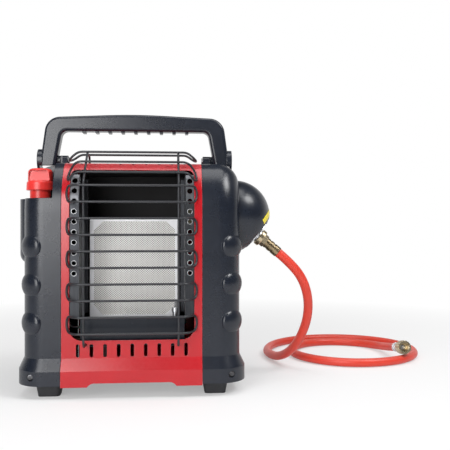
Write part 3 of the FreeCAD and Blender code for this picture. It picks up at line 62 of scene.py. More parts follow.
# Supply hose: orange red rubber over braid, 13.5 mm thick and 1.34 m long. It drops from the
# regulator's fitting to the floor and lies there in loose turns, its end over the outer one.
def painted(name, colour, roughness, metallic=0.0):
    """A new finish with its shader set to plain values. Its links come afterwards."""
    finish = bpy.data.materials.new(name)
    finish.use_nodes = True
    shader = finish.node_tree.nodes["Principled BSDF"]
    shader.inputs["Base Color"].default_value = (*colour, 1)
    shader.inputs["Roughness"].default_value = roughness
    shader.inputs["Metallic"].default_value = metallic
    return finish


def add(finish, kind, **values):
    """One more node in a finish or a group, with its settings and its input values."""
    tree = finish.node_tree if hasattr(finish, "node_tree") else finish
    node = tree.nodes.new(kind)
    for key, value in values.items():
        if hasattr(node, key):
            setattr(node, key, value)
        else:
            node.inputs[key.replace("_", " ")].default_value = value
    return node


def join(finish, *pairs):
    """Wires node outputs to node inputs, each pair as (node, output, node, input)."""
    tree = finish.node_tree if hasattr(finish, "node_tree") else finish
    for source, out, target, into in pairs:
        tree.links.new(source.outputs[out], target.inputs[into])


def spread(finish, source, out, seen=(0.0, 1.0), given=(0.0, 1.0)):
    """A value that runs between the two given ends while the source runs between the two seen."""
    ranged = add(finish, "ShaderNodeMapRange", From_Min=seen[0], From_Max=seen[1],
                 To_Min=given[0], To_Max=given[1])
    join(finish, (source, out, ranged, "Value"))
    return ranged


def effect(name, numbers_in, sockets_out):
    """An empty shader group with named numbers going in and named sockets coming out."""
    group = bpy.data.node_groups.new(name, "ShaderNodeTree")
    for label, value in numbers_in.items():
        socket = group.interface.new_socket(label, in_out="INPUT", socket_type="NodeSocketFloat")
        socket.default_value = value
    for label, kind in sockets_out.items():
        group.interface.new_socket(label, in_out="OUTPUT", socket_type=f"NodeSocket{kind}")
    start = group.nodes.new("NodeGroupInput")
    end = group.nodes.new("NodeGroupOutput")
    return group, start, end


def use(finish, group, *numbers):
    """One of the effects, placed in a finish with its own numbers, in the order of its inputs."""
    node = add(finish, "ShaderNodeGroup", node_tree=group)
    for socket, number in zip(node.inputs, numbers):
        socket.default_value = number
    return node


def shades(finish, source, out, first, second):
    """A colour that goes from the first to the second as the source grows."""
    mix = add(finish, "ShaderNodeMix", data_type="RGBA")
    mix.inputs["A"].default_value = (*first, 1)
    mix.inputs["B"].default_value = (*second, 1)
    join(finish, (source, out, mix, "Factor"))
    return mix


# Fine grain, as on moulded plastic and rubber: two sizes of soft pebbles.
coarse_share = 0.6
grain, grain_in, grain_out = effect(
    "fine grain", {"Scale": 900.0, "Coarse": 120.0}, {"Patch": "Float", "Height": "Float"})
spot = add(grain, "ShaderNodeTexCoord")
pebble = add(grain, "ShaderNodeTexVoronoi", feature="SMOOTH_F1")
mottle = add(grain, "ShaderNodeTexNoise", Detail=4.0, Roughness=0.6)
both_heights = add(grain, "ShaderNodeMath", operation="MULTIPLY_ADD")
both_heights.inputs[1].default_value = coarse_share
join(grain, (spot, "Object", pebble, "Vector"), (spot, "Object", mottle, "Vector"),
     (grain_in, "Scale", pebble, "Scale"), (grain_in, "Coarse", mottle, "Scale"),
     (pebble, "Distance", both_heights, 0), (mottle, "Fac", both_heights, 2),
     (both_heights, "Value", grain_out, "Height"), (mottle, "Fac", grain_out, "Patch"))

# Handling: broad smears that change the gloss, and dust on what faces up.
handled, handled_in, handled_out = effect(
    "handling", {"Size": 14.0, "Dust": 0.3}, {"Smear": "Float", "Dust": "Float"})
spot = add(handled, "ShaderNodeTexCoord")
cloud = add(handled, "ShaderNodeTexNoise", Detail=6.0, Roughness=0.62)
speck = add(handled, "ShaderNodeTexNoise", Scale=260.0, Detail=3.0)
facing = add(handled, "ShaderNodeNewGeometry")
facing_parts = add(handled, "ShaderNodeSeparateXYZ")
join(handled, (facing, "Normal", facing_parts, 0))
upward = spread(handled, facing_parts, "Z", seen=(0.35, 1.0))
rough_dust = add(handled, "ShaderNodeMath", operation="MULTIPLY")
some_dust = add(handled, "ShaderNodeMath", operation="MULTIPLY")
join(handled, (spot, "Object", cloud, "Vector"), (spot, "Object", speck, "Vector"),
     (handled_in, "Size", cloud, "Scale"), (cloud, "Fac", handled_out, "Smear"),
     (upward, "Result", rough_dust, 0), (speck, "Fac", rough_dust, 1),
     (rough_dust, "Value", some_dust, 0), (handled_in, "Dust", some_dust, 1),
     (some_dust, "Value", handled_out, "Dust"))


def coated(name, colours, gloss, scales, texture=grain, metallic=0.0, relief=None, smears=None,
           dust=None, rounding=None, edge_wear_and_highlight=None):
    """A finish of mottled colour and uneven gloss, with what else the surface shows.

    colours and gloss are the two ends of the mottling, scales the texture's two numbers. relief
    is the bump's strength and depth, smears the size of the smears and the amount of dust, dust
    its colour, rounding how round the edges are and how strongly they are marked, and
    edge_wear_and_highlight the colour of the marked edges. On some finishes that colour is wear,
    and on others it is a painted highlight.
    """
    finish = painted(name, colours[1], gloss[0], metallic)
    shader = finish.node_tree.nodes["Principled BSDF"]
    surface = use(finish, texture, *scales)
    colour = shades(finish, surface, "Patch", *colours)
    uneven = (surface, "Patch")
    if smears:
        smeared = use(finish, handled, *smears)
        uneven = (smeared, "Smear")
    if dust:
        dusty = shades(finish, smeared, "Dust", dust, dust)
        join(finish, (colour, "Result", dusty, "A"))
        colour = dusty
    if rounding:
        wear_and_highlight_edges = use(finish, edges, *rounding)
    if edge_wear_and_highlight:
        bright = shades(finish, wear_and_highlight_edges, "Wear and highlight mask", edge_wear_and_highlight, edge_wear_and_highlight)
        join(finish, (colour, "Result", bright, "A"))
        colour = bright
    shine = spread(finish, *uneven, given=gloss)
    join(finish, (colour, "Result", shader, "Base Color"), (shine, "Result", shader, "Roughness"))
    if relief:
        bumps = add(finish, "ShaderNodeBump", Strength=relief[0], Distance=relief[1])
        join(finish, (surface, "Height", bumps, "Height"), (bumps, "Normal", shader, "Normal"))
        if rounding:
            join(finish, (wear_and_highlight_edges, "Normal", bumps, "Normal"))
    return finish


def dress(finish, *names):
    """Gives a finish to CAD nodes."""
    for name in names:
        nodes_of[name].data.materials.clear()
        nodes_of[name].data.materials.append(finish)


hose_radius = 0.00675
hose_route = [
    (0.17676, 0.00449, 0.18494), (0.19512, 0.00449, 0.16948), (0.21484, 0.01149, 0.146),
    (0.22584, 0.02349, 0.116), (0.22784, 0.04049, 0.084), (0.22184, 0.06149, 0.053),
    (0.21084, 0.08649, 0.027), (0.19784, 0.12149, 0.011), (0.18834, 0.16249, 0.0073),
    (0.18934, 0.20849, 0.007), (0.21184, 0.26249, 0.007), (0.25984, 0.30349, 0.007),
    (0.31884, 0.31749, 0.007), (0.38084, 0.30249, 0.007), (0.42584, 0.26149, 0.007),
    (0.44484, 0.20649, 0.007), (0.43584, 0.14849, 0.007), (0.40084, 0.10449, 0.007),
    (0.34984, 0.08249, 0.007), (0.29484, 0.08649, 0.007), (0.25084, 0.11849, 0.007),
    (0.22884, 0.16749, 0.007), (0.23634, 0.21949, 0.007), (0.26984, 0.26149, 0.007),
    (0.31884, 0.27549, 0.007), (0.36684, 0.25749, 0.007), (0.39284, 0.22049, 0.008),
    (0.39784, 0.17949, 0.0132), (0.39834, 0.13949, 0.0202),
]
hose_curve = bpy.data.curves.new("hose_line", "CURVE")
hose_curve.dimensions = "3D"
hose_curve.resolution_u = 16
hose_spline = hose_curve.splines.new("NURBS")
hose_spline.points.add(len(hose_route) - 1)
for point, place in zip(hose_spline.points, hose_route):
    point.co = (*place, 1)
hose_spline.order_u = 3
hose_spline.use_endpoint_u = True
hose_line = bpy.data.objects.new("hose_line", hose_curve)
bpy.context.scene.collection.objects.link(hose_line)
hose_path = [tuple(point.co) for point in bpy.data.meshes.new_from_object(hose_line).vertices]
hose_curve.bevel_depth = hose_radius
hose_curve.bevel_resolution = 8
hose_curve.use_fill_caps = True
hose = bpy.data.objects.new("supply_hose", bpy.data.meshes.new_from_object(hose_line))
bpy.context.scene.collection.objects.link(hose)
bpy.data.objects.remove(hose_line)
for face in hose.data.polygons:
    face.use_smooth = True
hose.data.materials.clear()
hose.data.materials.append(coated(
    "hose_rubber", colours=((0.72, 0.040, 0.018), (0.56, 0.045, 0.026)), gloss=(0.30, 0.55),
    scales=(1500.0, 70.0), relief=(0.12, 0.0002), smears=(22.0, 0.25), dust=(0.75, 0.42, 0.36)))
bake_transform(hose)
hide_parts("gas_hose")


# Studio floor: a wide sheet of matt white paper. The camera and the gloss of the object see it
# fade to plain white away from the object, where it still takes the object's shadow.
fade_start, fade_end, least_white = 0.25, 1.1, 0.35
dim_from, dim_to, dim_gloss = -0.25, 0.35, 0.15
bpy.ops.object.select_all(action="DESELECT")
bpy.ops.mesh.primitive_plane_add(size=12, location=(0, 0, -0.0004))
floor = bpy.context.object
floor.name = "floor"
floor_paper = painted("floor_paper", (0.86, 0.86, 0.865), 0.75)
paper_shader = floor_paper.node_tree.nodes["Principled BSDF"]
paper_end = floor_paper.node_tree.nodes["Material Output"]
white = add(floor_paper, "ShaderNodeEmission", Strength=1.0)
spot = add(floor_paper, "ShaderNodeTexCoord")
away = add(floor_paper, "ShaderNodeVectorMath", operation="LENGTH")
floor_parts = add(floor_paper, "ShaderNodeSeparateXYZ")
join(floor_paper, (spot, "Object", away, 0), (spot, "Object", floor_parts, 0))
fade = spread(floor_paper, away, "Value", seen=(fade_start, fade_end), given=(least_white, 1.0))
floor_behind = spread(floor_paper, floor_parts, "Y", seen=(dim_from, dim_to), given=(dim_gloss, 1.0))
ray = add(floor_paper, "ShaderNodeLightPath")
glossy_share = add(floor_paper, "ShaderNodeMath", operation="MULTIPLY")
seen_or_mirrored = add(floor_paper, "ShaderNodeMath", operation="MAXIMUM")
seen_at_all = add(floor_paper, "ShaderNodeMath", operation="MAXIMUM")
share = add(floor_paper, "ShaderNodeMath", operation="MULTIPLY")
paper_mix = add(floor_paper, "ShaderNodeMixShader")
join(floor_paper, (ray, "Is Glossy Ray", glossy_share, 0), (floor_behind, "Result", glossy_share, 1),
     (ray, "Is Camera Ray", seen_or_mirrored, 0), (glossy_share, "Value", seen_or_mirrored, 1),
     (seen_or_mirrored, "Value", seen_at_all, 0), (ray, "Is Transmission Ray", seen_at_all, 1),
     (seen_at_all, "Value", share, 0), (fade, "Result", share, 1), (share, "Value", paper_mix, 0),
     (paper_shader, "BSDF", paper_mix, 1), (white, "Emission", paper_mix, 2),
     (paper_mix, "Shader", paper_end, "Surface"))
floor.data.materials.append(floor_paper)


# Studio room: white to the camera. Gloss shows it white behind the object, low down, and dark on
# the camera's side and overhead, where only the lamps are bright.
plain_room, dark_side = 0.22, 0.08
room = bpy.data.worlds.new("room")
room.use_nodes = True
bpy.context.scene.world = room
sky = room.node_tree.nodes["Background"]
sky.inputs["Color"].default_value = (1, 1, 1, 1)
ray = add(room, "ShaderNodeLightPath")
spot = add(room, "ShaderNodeTexCoord")
room_parts = add(room, "ShaderNodeSeparateXYZ")
join(room, (spot, "Generated", room_parts, 0))
behind = spread(room, room_parts, "Y", seen=(0.0, 0.6))
low_down = spread(room, room_parts, "Z", seen=(0.70, 0.20))
backdrop = add(room, "ShaderNodeMath", operation="MULTIPLY")
join(room, (behind, "Result", backdrop, 0), (low_down, "Result", backdrop, 1))
mirrored = spread(room, backdrop, "Value", given=(dark_side, 1.0))
shown = add(room, "ShaderNodeMath", operation="MAXIMUM")
brightest = add(room, "ShaderNodeMath", operation="MAXIMUM")
room_mix = add(room, "ShaderNodeMix", data_type="FLOAT")
room_mix.inputs["A"].default_value = plain_room
join(room, (ray, "Is Glossy Ray", room_mix, "Factor"), (mirrored, "Result", room_mix, "B"),
     (ray, "Is Camera Ray", shown, 0), (ray, "Is Transmission Ray", shown, 1),
     (room_mix, "Result", brightest, 0), (shown, "Value", brightest, 1),
     (brightest, "Value", sky, "Strength"))


# Studio lamps: a large soft window of light left of the camera, a smaller one high on the right
# that draws the highlights on the dome and the brow, and a broad one overhead.
def window_of_light(name, place, aim, across, high, watts):
    """A soft rectangular lamp that faces the aim."""
    lamp = bpy.data.lights.new(name, "AREA")
    lamp.shape = "RECTANGLE"
    lamp.size = across
    lamp.size_y = high
    lamp.energy = watts
    item = bpy.data.objects.new(name, lamp)
    item.location = place
    item.rotation_euler = (Vector(aim) - Vector(place)).to_track_quat("-Z", "Y").to_euler()
    bpy.context.scene.collection.objects.link(item)


window_of_light("key_window", place=(-0.68, -1.48, 0.62), aim=(-0.08, 0, 0.22),
                across=0.9, high=1.1, watts=22)
window_of_light("right_window", place=(0.95, -0.52, 1.28), aim=(0.13, 0, 0.25),
                across=0.55, high=0.5, watts=12)
window_of_light("top_window", place=(0.0, -0.30, 1.65), aim=(0, -0.05, 0.2),
                across=1.3, high=0.8, watts=11)


# Side housings and handle: blue grey black polypropylene, injection moulded with a fine
# sparked texture. Rubbed shiny on the grips and edges, matt and dusty in the hollows.

# Edge marks: a rounded normal where faces meet, and a patchy mask of the edges that are coloured
# paler. On most finishes that is wear. On the red coat and the dark reflectors it is painted highlight.
edges, edges_in, edges_out = effect(
    "edge wear and highlights", {"Round": 0.0006, "Wear and highlight amount": 0.5}, {"Wear and highlight mask": "Float", "Normal": "Vector"})
rounded = add(edges, "ShaderNodeBevel", samples=6)
plain = add(edges, "ShaderNodeNewGeometry")
turned = add(edges, "ShaderNodeVectorMath", operation="DOT_PRODUCT")
join(edges, (edges_in, "Round", rounded, "Radius"), (rounded, "Normal", turned, 0),
     (plain, "Normal", turned, 1))
bend = spread(edges, turned, "Value", seen=(0.985, 0.80))
spot = add(edges, "ShaderNodeTexCoord")
chips = add(edges, "ShaderNodeTexNoise", Scale=180.0, Detail=4.0)
join(edges, (spot, "Object", chips, "Vector"))
chip_cut = spread(edges, chips, "Fac", seen=(0.40, 0.62))
patchy = add(edges, "ShaderNodeMath", operation="MULTIPLY")
amount = add(edges, "ShaderNodeMath", operation="MULTIPLY")
join(edges, (bend, "Result", patchy, 0), (chip_cut, "Result", patchy, 1),
     (patchy, "Value", amount, 0), (edges_in, "Wear and highlight amount", amount, 1),
     (amount, "Value", edges_out, "Wear and highlight mask"), (rounded, "Normal", edges_out, "Normal"))

case_plastic = coated(
    "case_plastic", colours=((0.006, 0.008, 0.014), (0.012, 0.016, 0.026)), gloss=(0.20, 0.36),
    scales=(1700.0, 90.0), relief=(0.10, 0.00025), smears=(16.0, 0.14), dust=(0.08, 0.09, 0.10),
    rounding=(0.0009, 0.35), edge_wear_and_highlight=(0.060, 0.070, 0.090))
dress(case_plastic, "left_housing", "right_housing", "regulator_cover", "handle")


# Front and rear panels: pressed sheet steel with a glossy red powder coat that shows a faint
# orange peel. Along the bends the coat is painted a paler pink in patches, as a painted highlight
# of the bends.
# The pale pink of the marked edges is a painted highlight along the bends.
red_coat = coated(
    "red_coat", colours=((0.40, 0.003, 0.008), (0.48, 0.005, 0.012)), gloss=(0.15, 0.30),
    scales=(420.0, 26.0), relief=(0.05, 0.0003), smears=(9.0, 0.3), dust=(0.80, 0.40, 0.42),
    rounding=(0.0008, 0.55), edge_wear_and_highlight=(0.85, 0.42, 0.44))
red_shader = red_coat.node_tree.nodes["Principled BSDF"]
red_shader.inputs["Coat Weight"].default_value = 0.15
red_shader.inputs["Coat Roughness"].default_value = 0.18
dress(red_coat, "front_panel", "rear_panel")


# Burner chamber and base pan: folded steel, sprayed with matt heat proof black that has gone
# brownish and dull near the burner.
stove_black = coated(
    "stove_black", colours=((0.004, 0.004, 0.005), (0.010, 0.009, 0.009)), gloss=(0.50, 0.75),
    scales=(1100.0, 45.0), relief=(0.12, 0.0002), rounding=(0.0006, 0.5), edge_wear_and_highlight=(0.10, 0.10, 0.11))
stove_black.node_tree.nodes["Principled BSDF"].inputs["Specular IOR Level"].default_value = 0.25
dress(stove_black, "burner_box", "base_pan")


# Fascia under the tile: pressed steel in a smoother blue black enamel, left bare of wording. It
# is screwed to the panel by two tabs.
fascia_enamel = coated(
    "fascia_enamel", colours=((0.005, 0.007, 0.011), (0.011, 0.014, 0.021)), gloss=(0.18, 0.32),
    scales=(800.0, 60.0), relief=(0.08, 0.0002), smears=(20.0, 0.3),
    rounding=(0.0007, 0.5), edge_wear_and_highlight=(0.10, 0.11, 0.13))
fascia_enamel.node_tree.nodes["Principled BSDF"].inputs["Specular IOR Level"].default_value = 0.3
dress(fascia_enamel, "lower_plate")


# Wire guard: drawn steel wire, bent, spot welded and dipped in satin black. The coat is thin,
# so the tops of the wires catch the light in a grey line.
guard_coat = coated(
    "guard_coat", colours=((0.010, 0.011, 0.014), (0.026, 0.028, 0.033)), gloss=(0.28, 0.46),
    scales=(900.0, 140.0), relief=(0.15, 0.0002))
dress(guard_coat, "wire_guard")


# Sheet steel without paint: the side reflectors, dark from heat, whose edges and hole rims are
# painted pale grey as painted highlights of the cut edges, the burner's bright folded frame, and
# the plain brackets, springs and pins inside.

# Rolled sheet: fine lines that the mill leaves along the metal.
rolled, rolled_in, rolled_out = effect(
    "rolled sheet", {"Along": 30.0, "Across": 900.0}, {"Patch": "Float", "Height": "Float"})
spot = add(rolled, "ShaderNodeTexCoord")
line_scales = add(rolled, "ShaderNodeCombineXYZ")
stretched = add(rolled, "ShaderNodeVectorMath", operation="MULTIPLY")
fibre = add(rolled, "ShaderNodeTexNoise", Scale=1.0, Detail=3.0)
join(rolled, (rolled_in, "Across", line_scales, "X"), (rolled_in, "Across", line_scales, "Y"),
     (rolled_in, "Along", line_scales, "Z"), (spot, "Object", stretched, 0),
     (line_scales, "Vector", stretched, 1), (stretched, "Vector", fibre, "Vector"),
     (fibre, "Fac", rolled_out, "Patch"), (fibre, "Fac", rolled_out, "Height"))

sheet_steel = {"texture": rolled, "scales": (30.0, 900.0), "relief": (0.06, 0.0001),
               "smears": (24.0, 0.15)}
# The pale grey of the reflectors' marked edges is a painted highlight on the cut edges and hole rims.
dark_reflector = coated(
    "dark_reflector", colours=((0.035, 0.037, 0.042), (0.075, 0.078, 0.085)), gloss=(0.34, 0.55),
    rounding=(0.0004, 0.8), edge_wear_and_highlight=(0.55, 0.56, 0.58), metallic=1.0, **sheet_steel)
dress(dark_reflector, "left_reflector", "right_reflector")
bright_steel = coated(
    "bright_steel", colours=((0.62, 0.63, 0.65), (0.80, 0.81, 0.83)), gloss=(0.24, 0.42),
    rounding=(0.0004, 0.3), edge_wear_and_highlight=(0.92, 0.93, 0.95), metallic=1.0, **sheet_steel)
dress(bright_steel, "pilot_burner")
folded_frame = coated(
    "folded_frame", colours=((0.70, 0.70, 0.72), (0.84, 0.84, 0.86)), gloss=(0.34, 0.50),
    rounding=(0.0004, 0.3), edge_wear_and_highlight=(0.95, 0.95, 0.97), metallic=0.35, **sheet_steel)
dress(folded_frame, "burner_frame")
plain_steel = coated(
    "plain_steel", colours=((0.30, 0.30, 0.31), (0.46, 0.46, 0.47)), gloss=(0.32, 0.55),
    rounding=(0.0004, 0.3), edge_wear_and_highlight=(0.70, 0.70, 0.72), metallic=1.0, **sheet_steel)
dress(plain_steel, "burner_plenum", "mixing_tube", "valve_bracket", "orifice_bracket",
      "thermocouple", "valve_stem", "knob_spring", "handle_pins")


# Hole collars: the holes down the front flange of each reflector are drawn through, which
# leaves a thin bright lip that stands a little proud of the sheet. The lips wear the plain
# bright steel that came with the frame, and not the finish above.
panel_mid_x, flange_mid, flange_y = -0.02616, 0.0751, -0.06601
hole_radius, hole_first, hole_pitch = 0.0035, 0.161, 0.01345
flat_holes, all_holes = 7, 10
lip_wall, lip_deep, lip_round = 0.0005, 0.0018, 0.00018


def hole_places(side, first, last):
    """Middles of the holes in one reflector's flange, from the first number to before the last."""
    return [(panel_mid_x + side * flange_mid, flange_y, hole_first + number * hole_pitch)
            for number in range(first, last)]


def fasten(item, name, kind, **values):
    """Puts one modifier on a piece and applies it."""
    bpy.ops.object.select_all(action="DESELECT")
    item.select_set(True)
    bpy.context.view_layer.objects.active = item
    modifier = item.modifiers.new(name, kind)
    for key, value in values.items():
        setattr(modifier, key, value)
    bpy.ops.object.modifier_apply(modifier=name)


for title, side in (("left_hole_collars", -1), ("right_hole_collars", 1)):
    row = []
    for place in hole_places(side, 0, flat_holes):
        bpy.ops.object.select_all(action="DESELECT")
        bpy.ops.mesh.primitive_cylinder_add(vertices=40, radius=hole_radius, depth=lip_deep,
                                            end_fill_type="NOTHING", location=place,
                                            rotation=(math.pi / 2, 0, 0))
        collar = bpy.context.object
        bpy.ops.object.transform_apply(location=True, rotation=True, scale=True)
        fasten(collar, "wall", "SOLIDIFY", thickness=lip_wall, offset=-1.0)
        fasten(collar, "rolled_edge", "BEVEL", width=lip_round, segments=2)
        row.append(collar)
    bpy.ops.object.select_all(action="DESELECT")
    for collar in row:
        collar.select_set(True)
    bpy.context.view_layer.objects.active = row[0]
    bpy.ops.object.join()
    row[0].name = title
    row[0].data.materials.append(bpy.data.materials["bright_steel"])
    bpy.ops.object.shade_smooth_by_angle(angle=math.radians(40))
    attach(row[0], "case")


# Flange tops: above the brow's bend each reflector's flange leans back with the panel, as a
# separate strip spot welded behind it, with the last three holes of the row. The strips wear
# the plain dark steel that came with the frame.
strip_outer, strip_inner, strip_thick, strip_gap = 0.0805, 0.0699, 0.0008, 0.0003
strip_low, strip_high, strip_steps, strip_start = 0.2535, 0.2905, 8, 0.0001
feeler_x, feeler_y = 0.0850, -0.02
punch_long = 0.06
levels_up = [strip_low + (strip_high - strip_low) * step / strip_steps for step in range(strip_steps + 1)]
leaning = []
for level in levels_up:
    met, touch, _, _ = nodes_of["front_panel"].ray_cast(
        Vector((panel_mid_x - feeler_x, feeler_y, level)), Vector((0, -1, 0)))
    leaning.append(touch.y + strip_gap if met else leaning[-1])
for title, side in (("left_flange_top", -1), ("right_flange_top", 1)):
    bpy.ops.object.select_all(action="DESELECT")
    bpy.ops.mesh.primitive_plane_add(
        size=1, location=(panel_mid_x + side * (strip_outer + strip_inner) / 2, leaning[0], strip_low),
        rotation=(math.pi / 2, 0, 0))
    strip = bpy.context.object
    strip.name = title
    strip.scale = (strip_outer - strip_inner, strip_start, 1)
    bpy.ops.object.transform_apply(location=True, rotation=True, scale=True)
    bpy.ops.object.mode_set(mode="EDIT")
    bpy.ops.mesh.select_mode(type="EDGE")
    bpy.ops.mesh.select_all(action="DESELECT")
    bpy.ops.object.mode_set(mode="OBJECT")
    corners = strip.data.vertices
    top_edge = max(strip.data.edges, key=lambda edge: sum(corners[end].co.z for end in edge.vertices))
    top_edge.select = True
    bpy.ops.object.mode_set(mode="EDIT")
    for lower, upper, near, back in zip(levels_up, levels_up[1:], leaning, leaning[1:]):
        bpy.ops.mesh.extrude_region_move(TRANSFORM_OT_translate={"value": (0, back - near, upper - lower)})
    bpy.ops.mesh.select_all(action="SELECT")
    bpy.ops.mesh.normals_make_consistent(inside=False)
    bpy.ops.object.mode_set(mode="OBJECT")
    fasten(strip, "sheet", "SOLIDIFY", thickness=strip_thick)
    for place in hole_places(side, flat_holes, all_holes):
        bpy.ops.object.select_all(action="DESELECT")
        bpy.ops.mesh.primitive_cylinder_add(vertices=32, radius=hole_radius, depth=punch_long,
                                            rotation=(math.pi / 2, 0, 0), location=place)
        punch = bpy.context.object
        fasten(strip, "punched", "BOOLEAN", operation="DIFFERENCE", object=punch)
        bpy.data.objects.remove(punch)
    strip.data.materials.append(bpy.data.materials["dark_reflector"])
    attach(strip, "case")


# Burner tile: pressed white ceramic, pierced by hundreds of fine holes in staggered rows that
# run close to its edges. It is stained a warm grey by use.

# Staggered holes: how far each spot is from the nearest point of two square lattices, one of
# them half a step on, turned into a soft edged round hole.
pierced, pierced_in, pierced_out = effect(
    "staggered holes", {"Step": 0.0034, "Row": 0.0030, "Hole": 0.00062}, {"Hole": "Float"})
spot = add(pierced, "ShaderNodeTexCoord")
pitch = add(pierced, "ShaderNodeCombineXYZ", Y=1.0)
flat_pitch = add(pierced, "ShaderNodeCombineXYZ")
counted = add(pierced, "ShaderNodeVectorMath", operation="DIVIDE")
join(pierced, (pierced_in, "Step", pitch, "X"), (pierced_in, "Row", pitch, "Z"),
     (pierced_in, "Step", flat_pitch, "X"), (pierced_in, "Row", flat_pitch, "Z"),
     (spot, "Object", counted, 0), (pitch, "Vector", counted, 1))
nearest = []
for shift in (0.0, 0.5):
    moved = add(pierced, "ShaderNodeVectorMath", operation="ADD")
    moved.inputs[1].default_value = (shift, shift, shift)
    part = add(pierced, "ShaderNodeVectorMath", operation="FRACTION")
    from_middle = add(pierced, "ShaderNodeVectorMath", operation="SUBTRACT")
    from_middle.inputs[1].default_value = (0.5, 0.5, 0.5)
    in_metres = add(pierced, "ShaderNodeVectorMath", operation="MULTIPLY")
    distance = add(pierced, "ShaderNodeVectorMath", operation="LENGTH")
    join(pierced, (counted, "Vector", moved, 0), (moved, "Vector", part, 0),
         (part, "Vector", from_middle, 0), (from_middle, "Vector", in_metres, 0),
         (flat_pitch, "Vector", in_metres, 1), (in_metres, "Vector", distance, 0))
    nearest.append(distance)
closer = add(pierced, "ShaderNodeMath", operation="MINIMUM")
ratio = add(pierced, "ShaderNodeMath", operation="DIVIDE")
join(pierced, (nearest[0], "Value", closer, 0), (nearest[1], "Value", closer, 1),
     (closer, "Value", ratio, 0), (pierced_in, "Hole", ratio, 1))
rim = spread(pierced, ratio, "Value", seen=(1.25, 0.75))
join(pierced, (rim, "Result", pierced_out, "Hole"))

hole_shade = (0.14, 0.14, 0.14)
tile_ceramic = painted("tile_ceramic", (0.70, 0.69, 0.67), 0.85)
tile_shader = tile_ceramic.node_tree.nodes["Principled BSDF"]
holes = use(tile_ceramic, pierced)
grained = use(tile_ceramic, grain, 700.0, 35.0)
clay = shades(tile_ceramic, grained, "Patch", (0.70, 0.69, 0.66), (0.82, 0.82, 0.80))
pierce = shades(tile_ceramic, holes, "Hole", hole_shade, hole_shade)
sunk = add(tile_ceramic, "ShaderNodeBump", Strength=0.5, Distance=0.0008, invert=True)
join(tile_ceramic, (clay, "Result", pierce, "A"),
     (pierce, "Result", tile_shader, "Base Color"), (holes, "Hole", sunk, "Height"),
     (sunk, "Normal", tile_shader, "Normal"))
dress(tile_ceramic, "ceramic_tile")


# Knob: coral red moulded plastic with a satin gloss, pushed onto the valve's stem. It is
# scuffed a little where fingers hold it.
knob_plastic = coated(
    "knob_plastic", colours=((0.66, 0.025, 0.022), (0.78, 0.045, 0.038)), gloss=(0.20, 0.42),
    scales=(1300.0, 60.0), relief=(0.06, 0.0002), smears=(40.0, 0.2),
    rounding=(0.0007, 0.5), edge_wear_and_highlight=(0.95, 0.42, 0.40))
dress(knob_plastic, "knob")


# Gas fittings: turned brass nuts, a dark bronze sleeve crimped on the hose, die cast aluminium
# bodies and tubes, and a plated ferrule, all slightly tarnished.
turned_metal = {"scales": (1600.0, 160.0), "relief": (0.08, 0.0001), "rounding": (0.0005, 0.4),
                "metallic": 1.0}
turned_brass = coated("turned_brass", colours=((0.34, 0.27, 0.16), (0.70, 0.60, 0.42)),
                      gloss=(0.22, 0.42), **turned_metal)
dress(turned_brass, "hose_nut", "bottle_nut", "main_orifice", "swivel_fitting")
bronze_sleeve = coated("bronze_sleeve", colours=((0.16, 0.12, 0.07), (0.42, 0.33, 0.20)),
                       gloss=(0.25, 0.45), **turned_metal)
dress(bronze_sleeve, "hose_ferrule")
cast_aluminium = coated("cast_aluminium", colours=((0.52, 0.53, 0.55), (0.74, 0.75, 0.77)),
                        gloss=(0.30, 0.50), **turned_metal)
dress(cast_aluminium, "regulator_body", "inlet_plate", "gas_valve", "supply_tube", "burner_tube",
      "pilot_tube")
plated_sleeve = coated("plated_sleeve", colours=((0.50, 0.51, 0.54), (0.80, 0.81, 0.83)),
                       gloss=(0.18, 0.36), **turned_metal)
dress(plated_sleeve, "end_ferrule")


# Feet and switches: black rubber feet screwed under the base pan, and the moulded bodies of the
# igniter and the tip over switch, which share their dull black.
foot_rubber = coated(
    "foot_rubber", colours=((0.014, 0.015, 0.018), (0.034, 0.035, 0.038)), gloss=(0.50, 0.72),
    scales=(1200.0, 80.0), relief=(0.15, 0.0002), rounding=(0.0012, 0.3))
dress(foot_rubber, "foot_front_left", "foot_front_right", "foot_rear_left", "foot_rear_right",
      "piezo_igniter", "tip_over_switch")


# Igniter electrode: a glazed white ceramic rod that stands on the pilot's plate beside the
# tile, browned a little by the flame.
white_ceramic = coated(
    "white_ceramic", colours=((0.62, 0.56, 0.48), (0.85, 0.84, 0.81)), gloss=(0.35, 0.18),
    scales=(600.0, 90.0))
dress(white_ceramic, "igniter_electrode")


# Label on the dome: a blank strip of yellow vinyl that follows the ball just above its slanted
# cut. It is a thin band of a sphere, trimmed by four flat cuts.
dome_centre = Vector((0.11434, 0.00449, 0.2375))
inlet_axis = Vector((0.76492, 0, -0.64412))
ball_radius, label_lift, label_thick = 0.050, 0.00012, 0.00025
label_near, label_far = 0.0315, 0.0375
label_start, label_stop = math.radians(28), math.radians(80)
least_smooth_area = 1e-7
to_front = Vector((0, -1, 0))
to_top = inlet_axis.cross(to_front)
if to_top.z < 0:
    to_top = -to_top


def around(angle):
    """The direction along the band at an angle that starts at the front and climbs."""
    return to_top * math.cos(angle) - to_front * math.sin(angle)


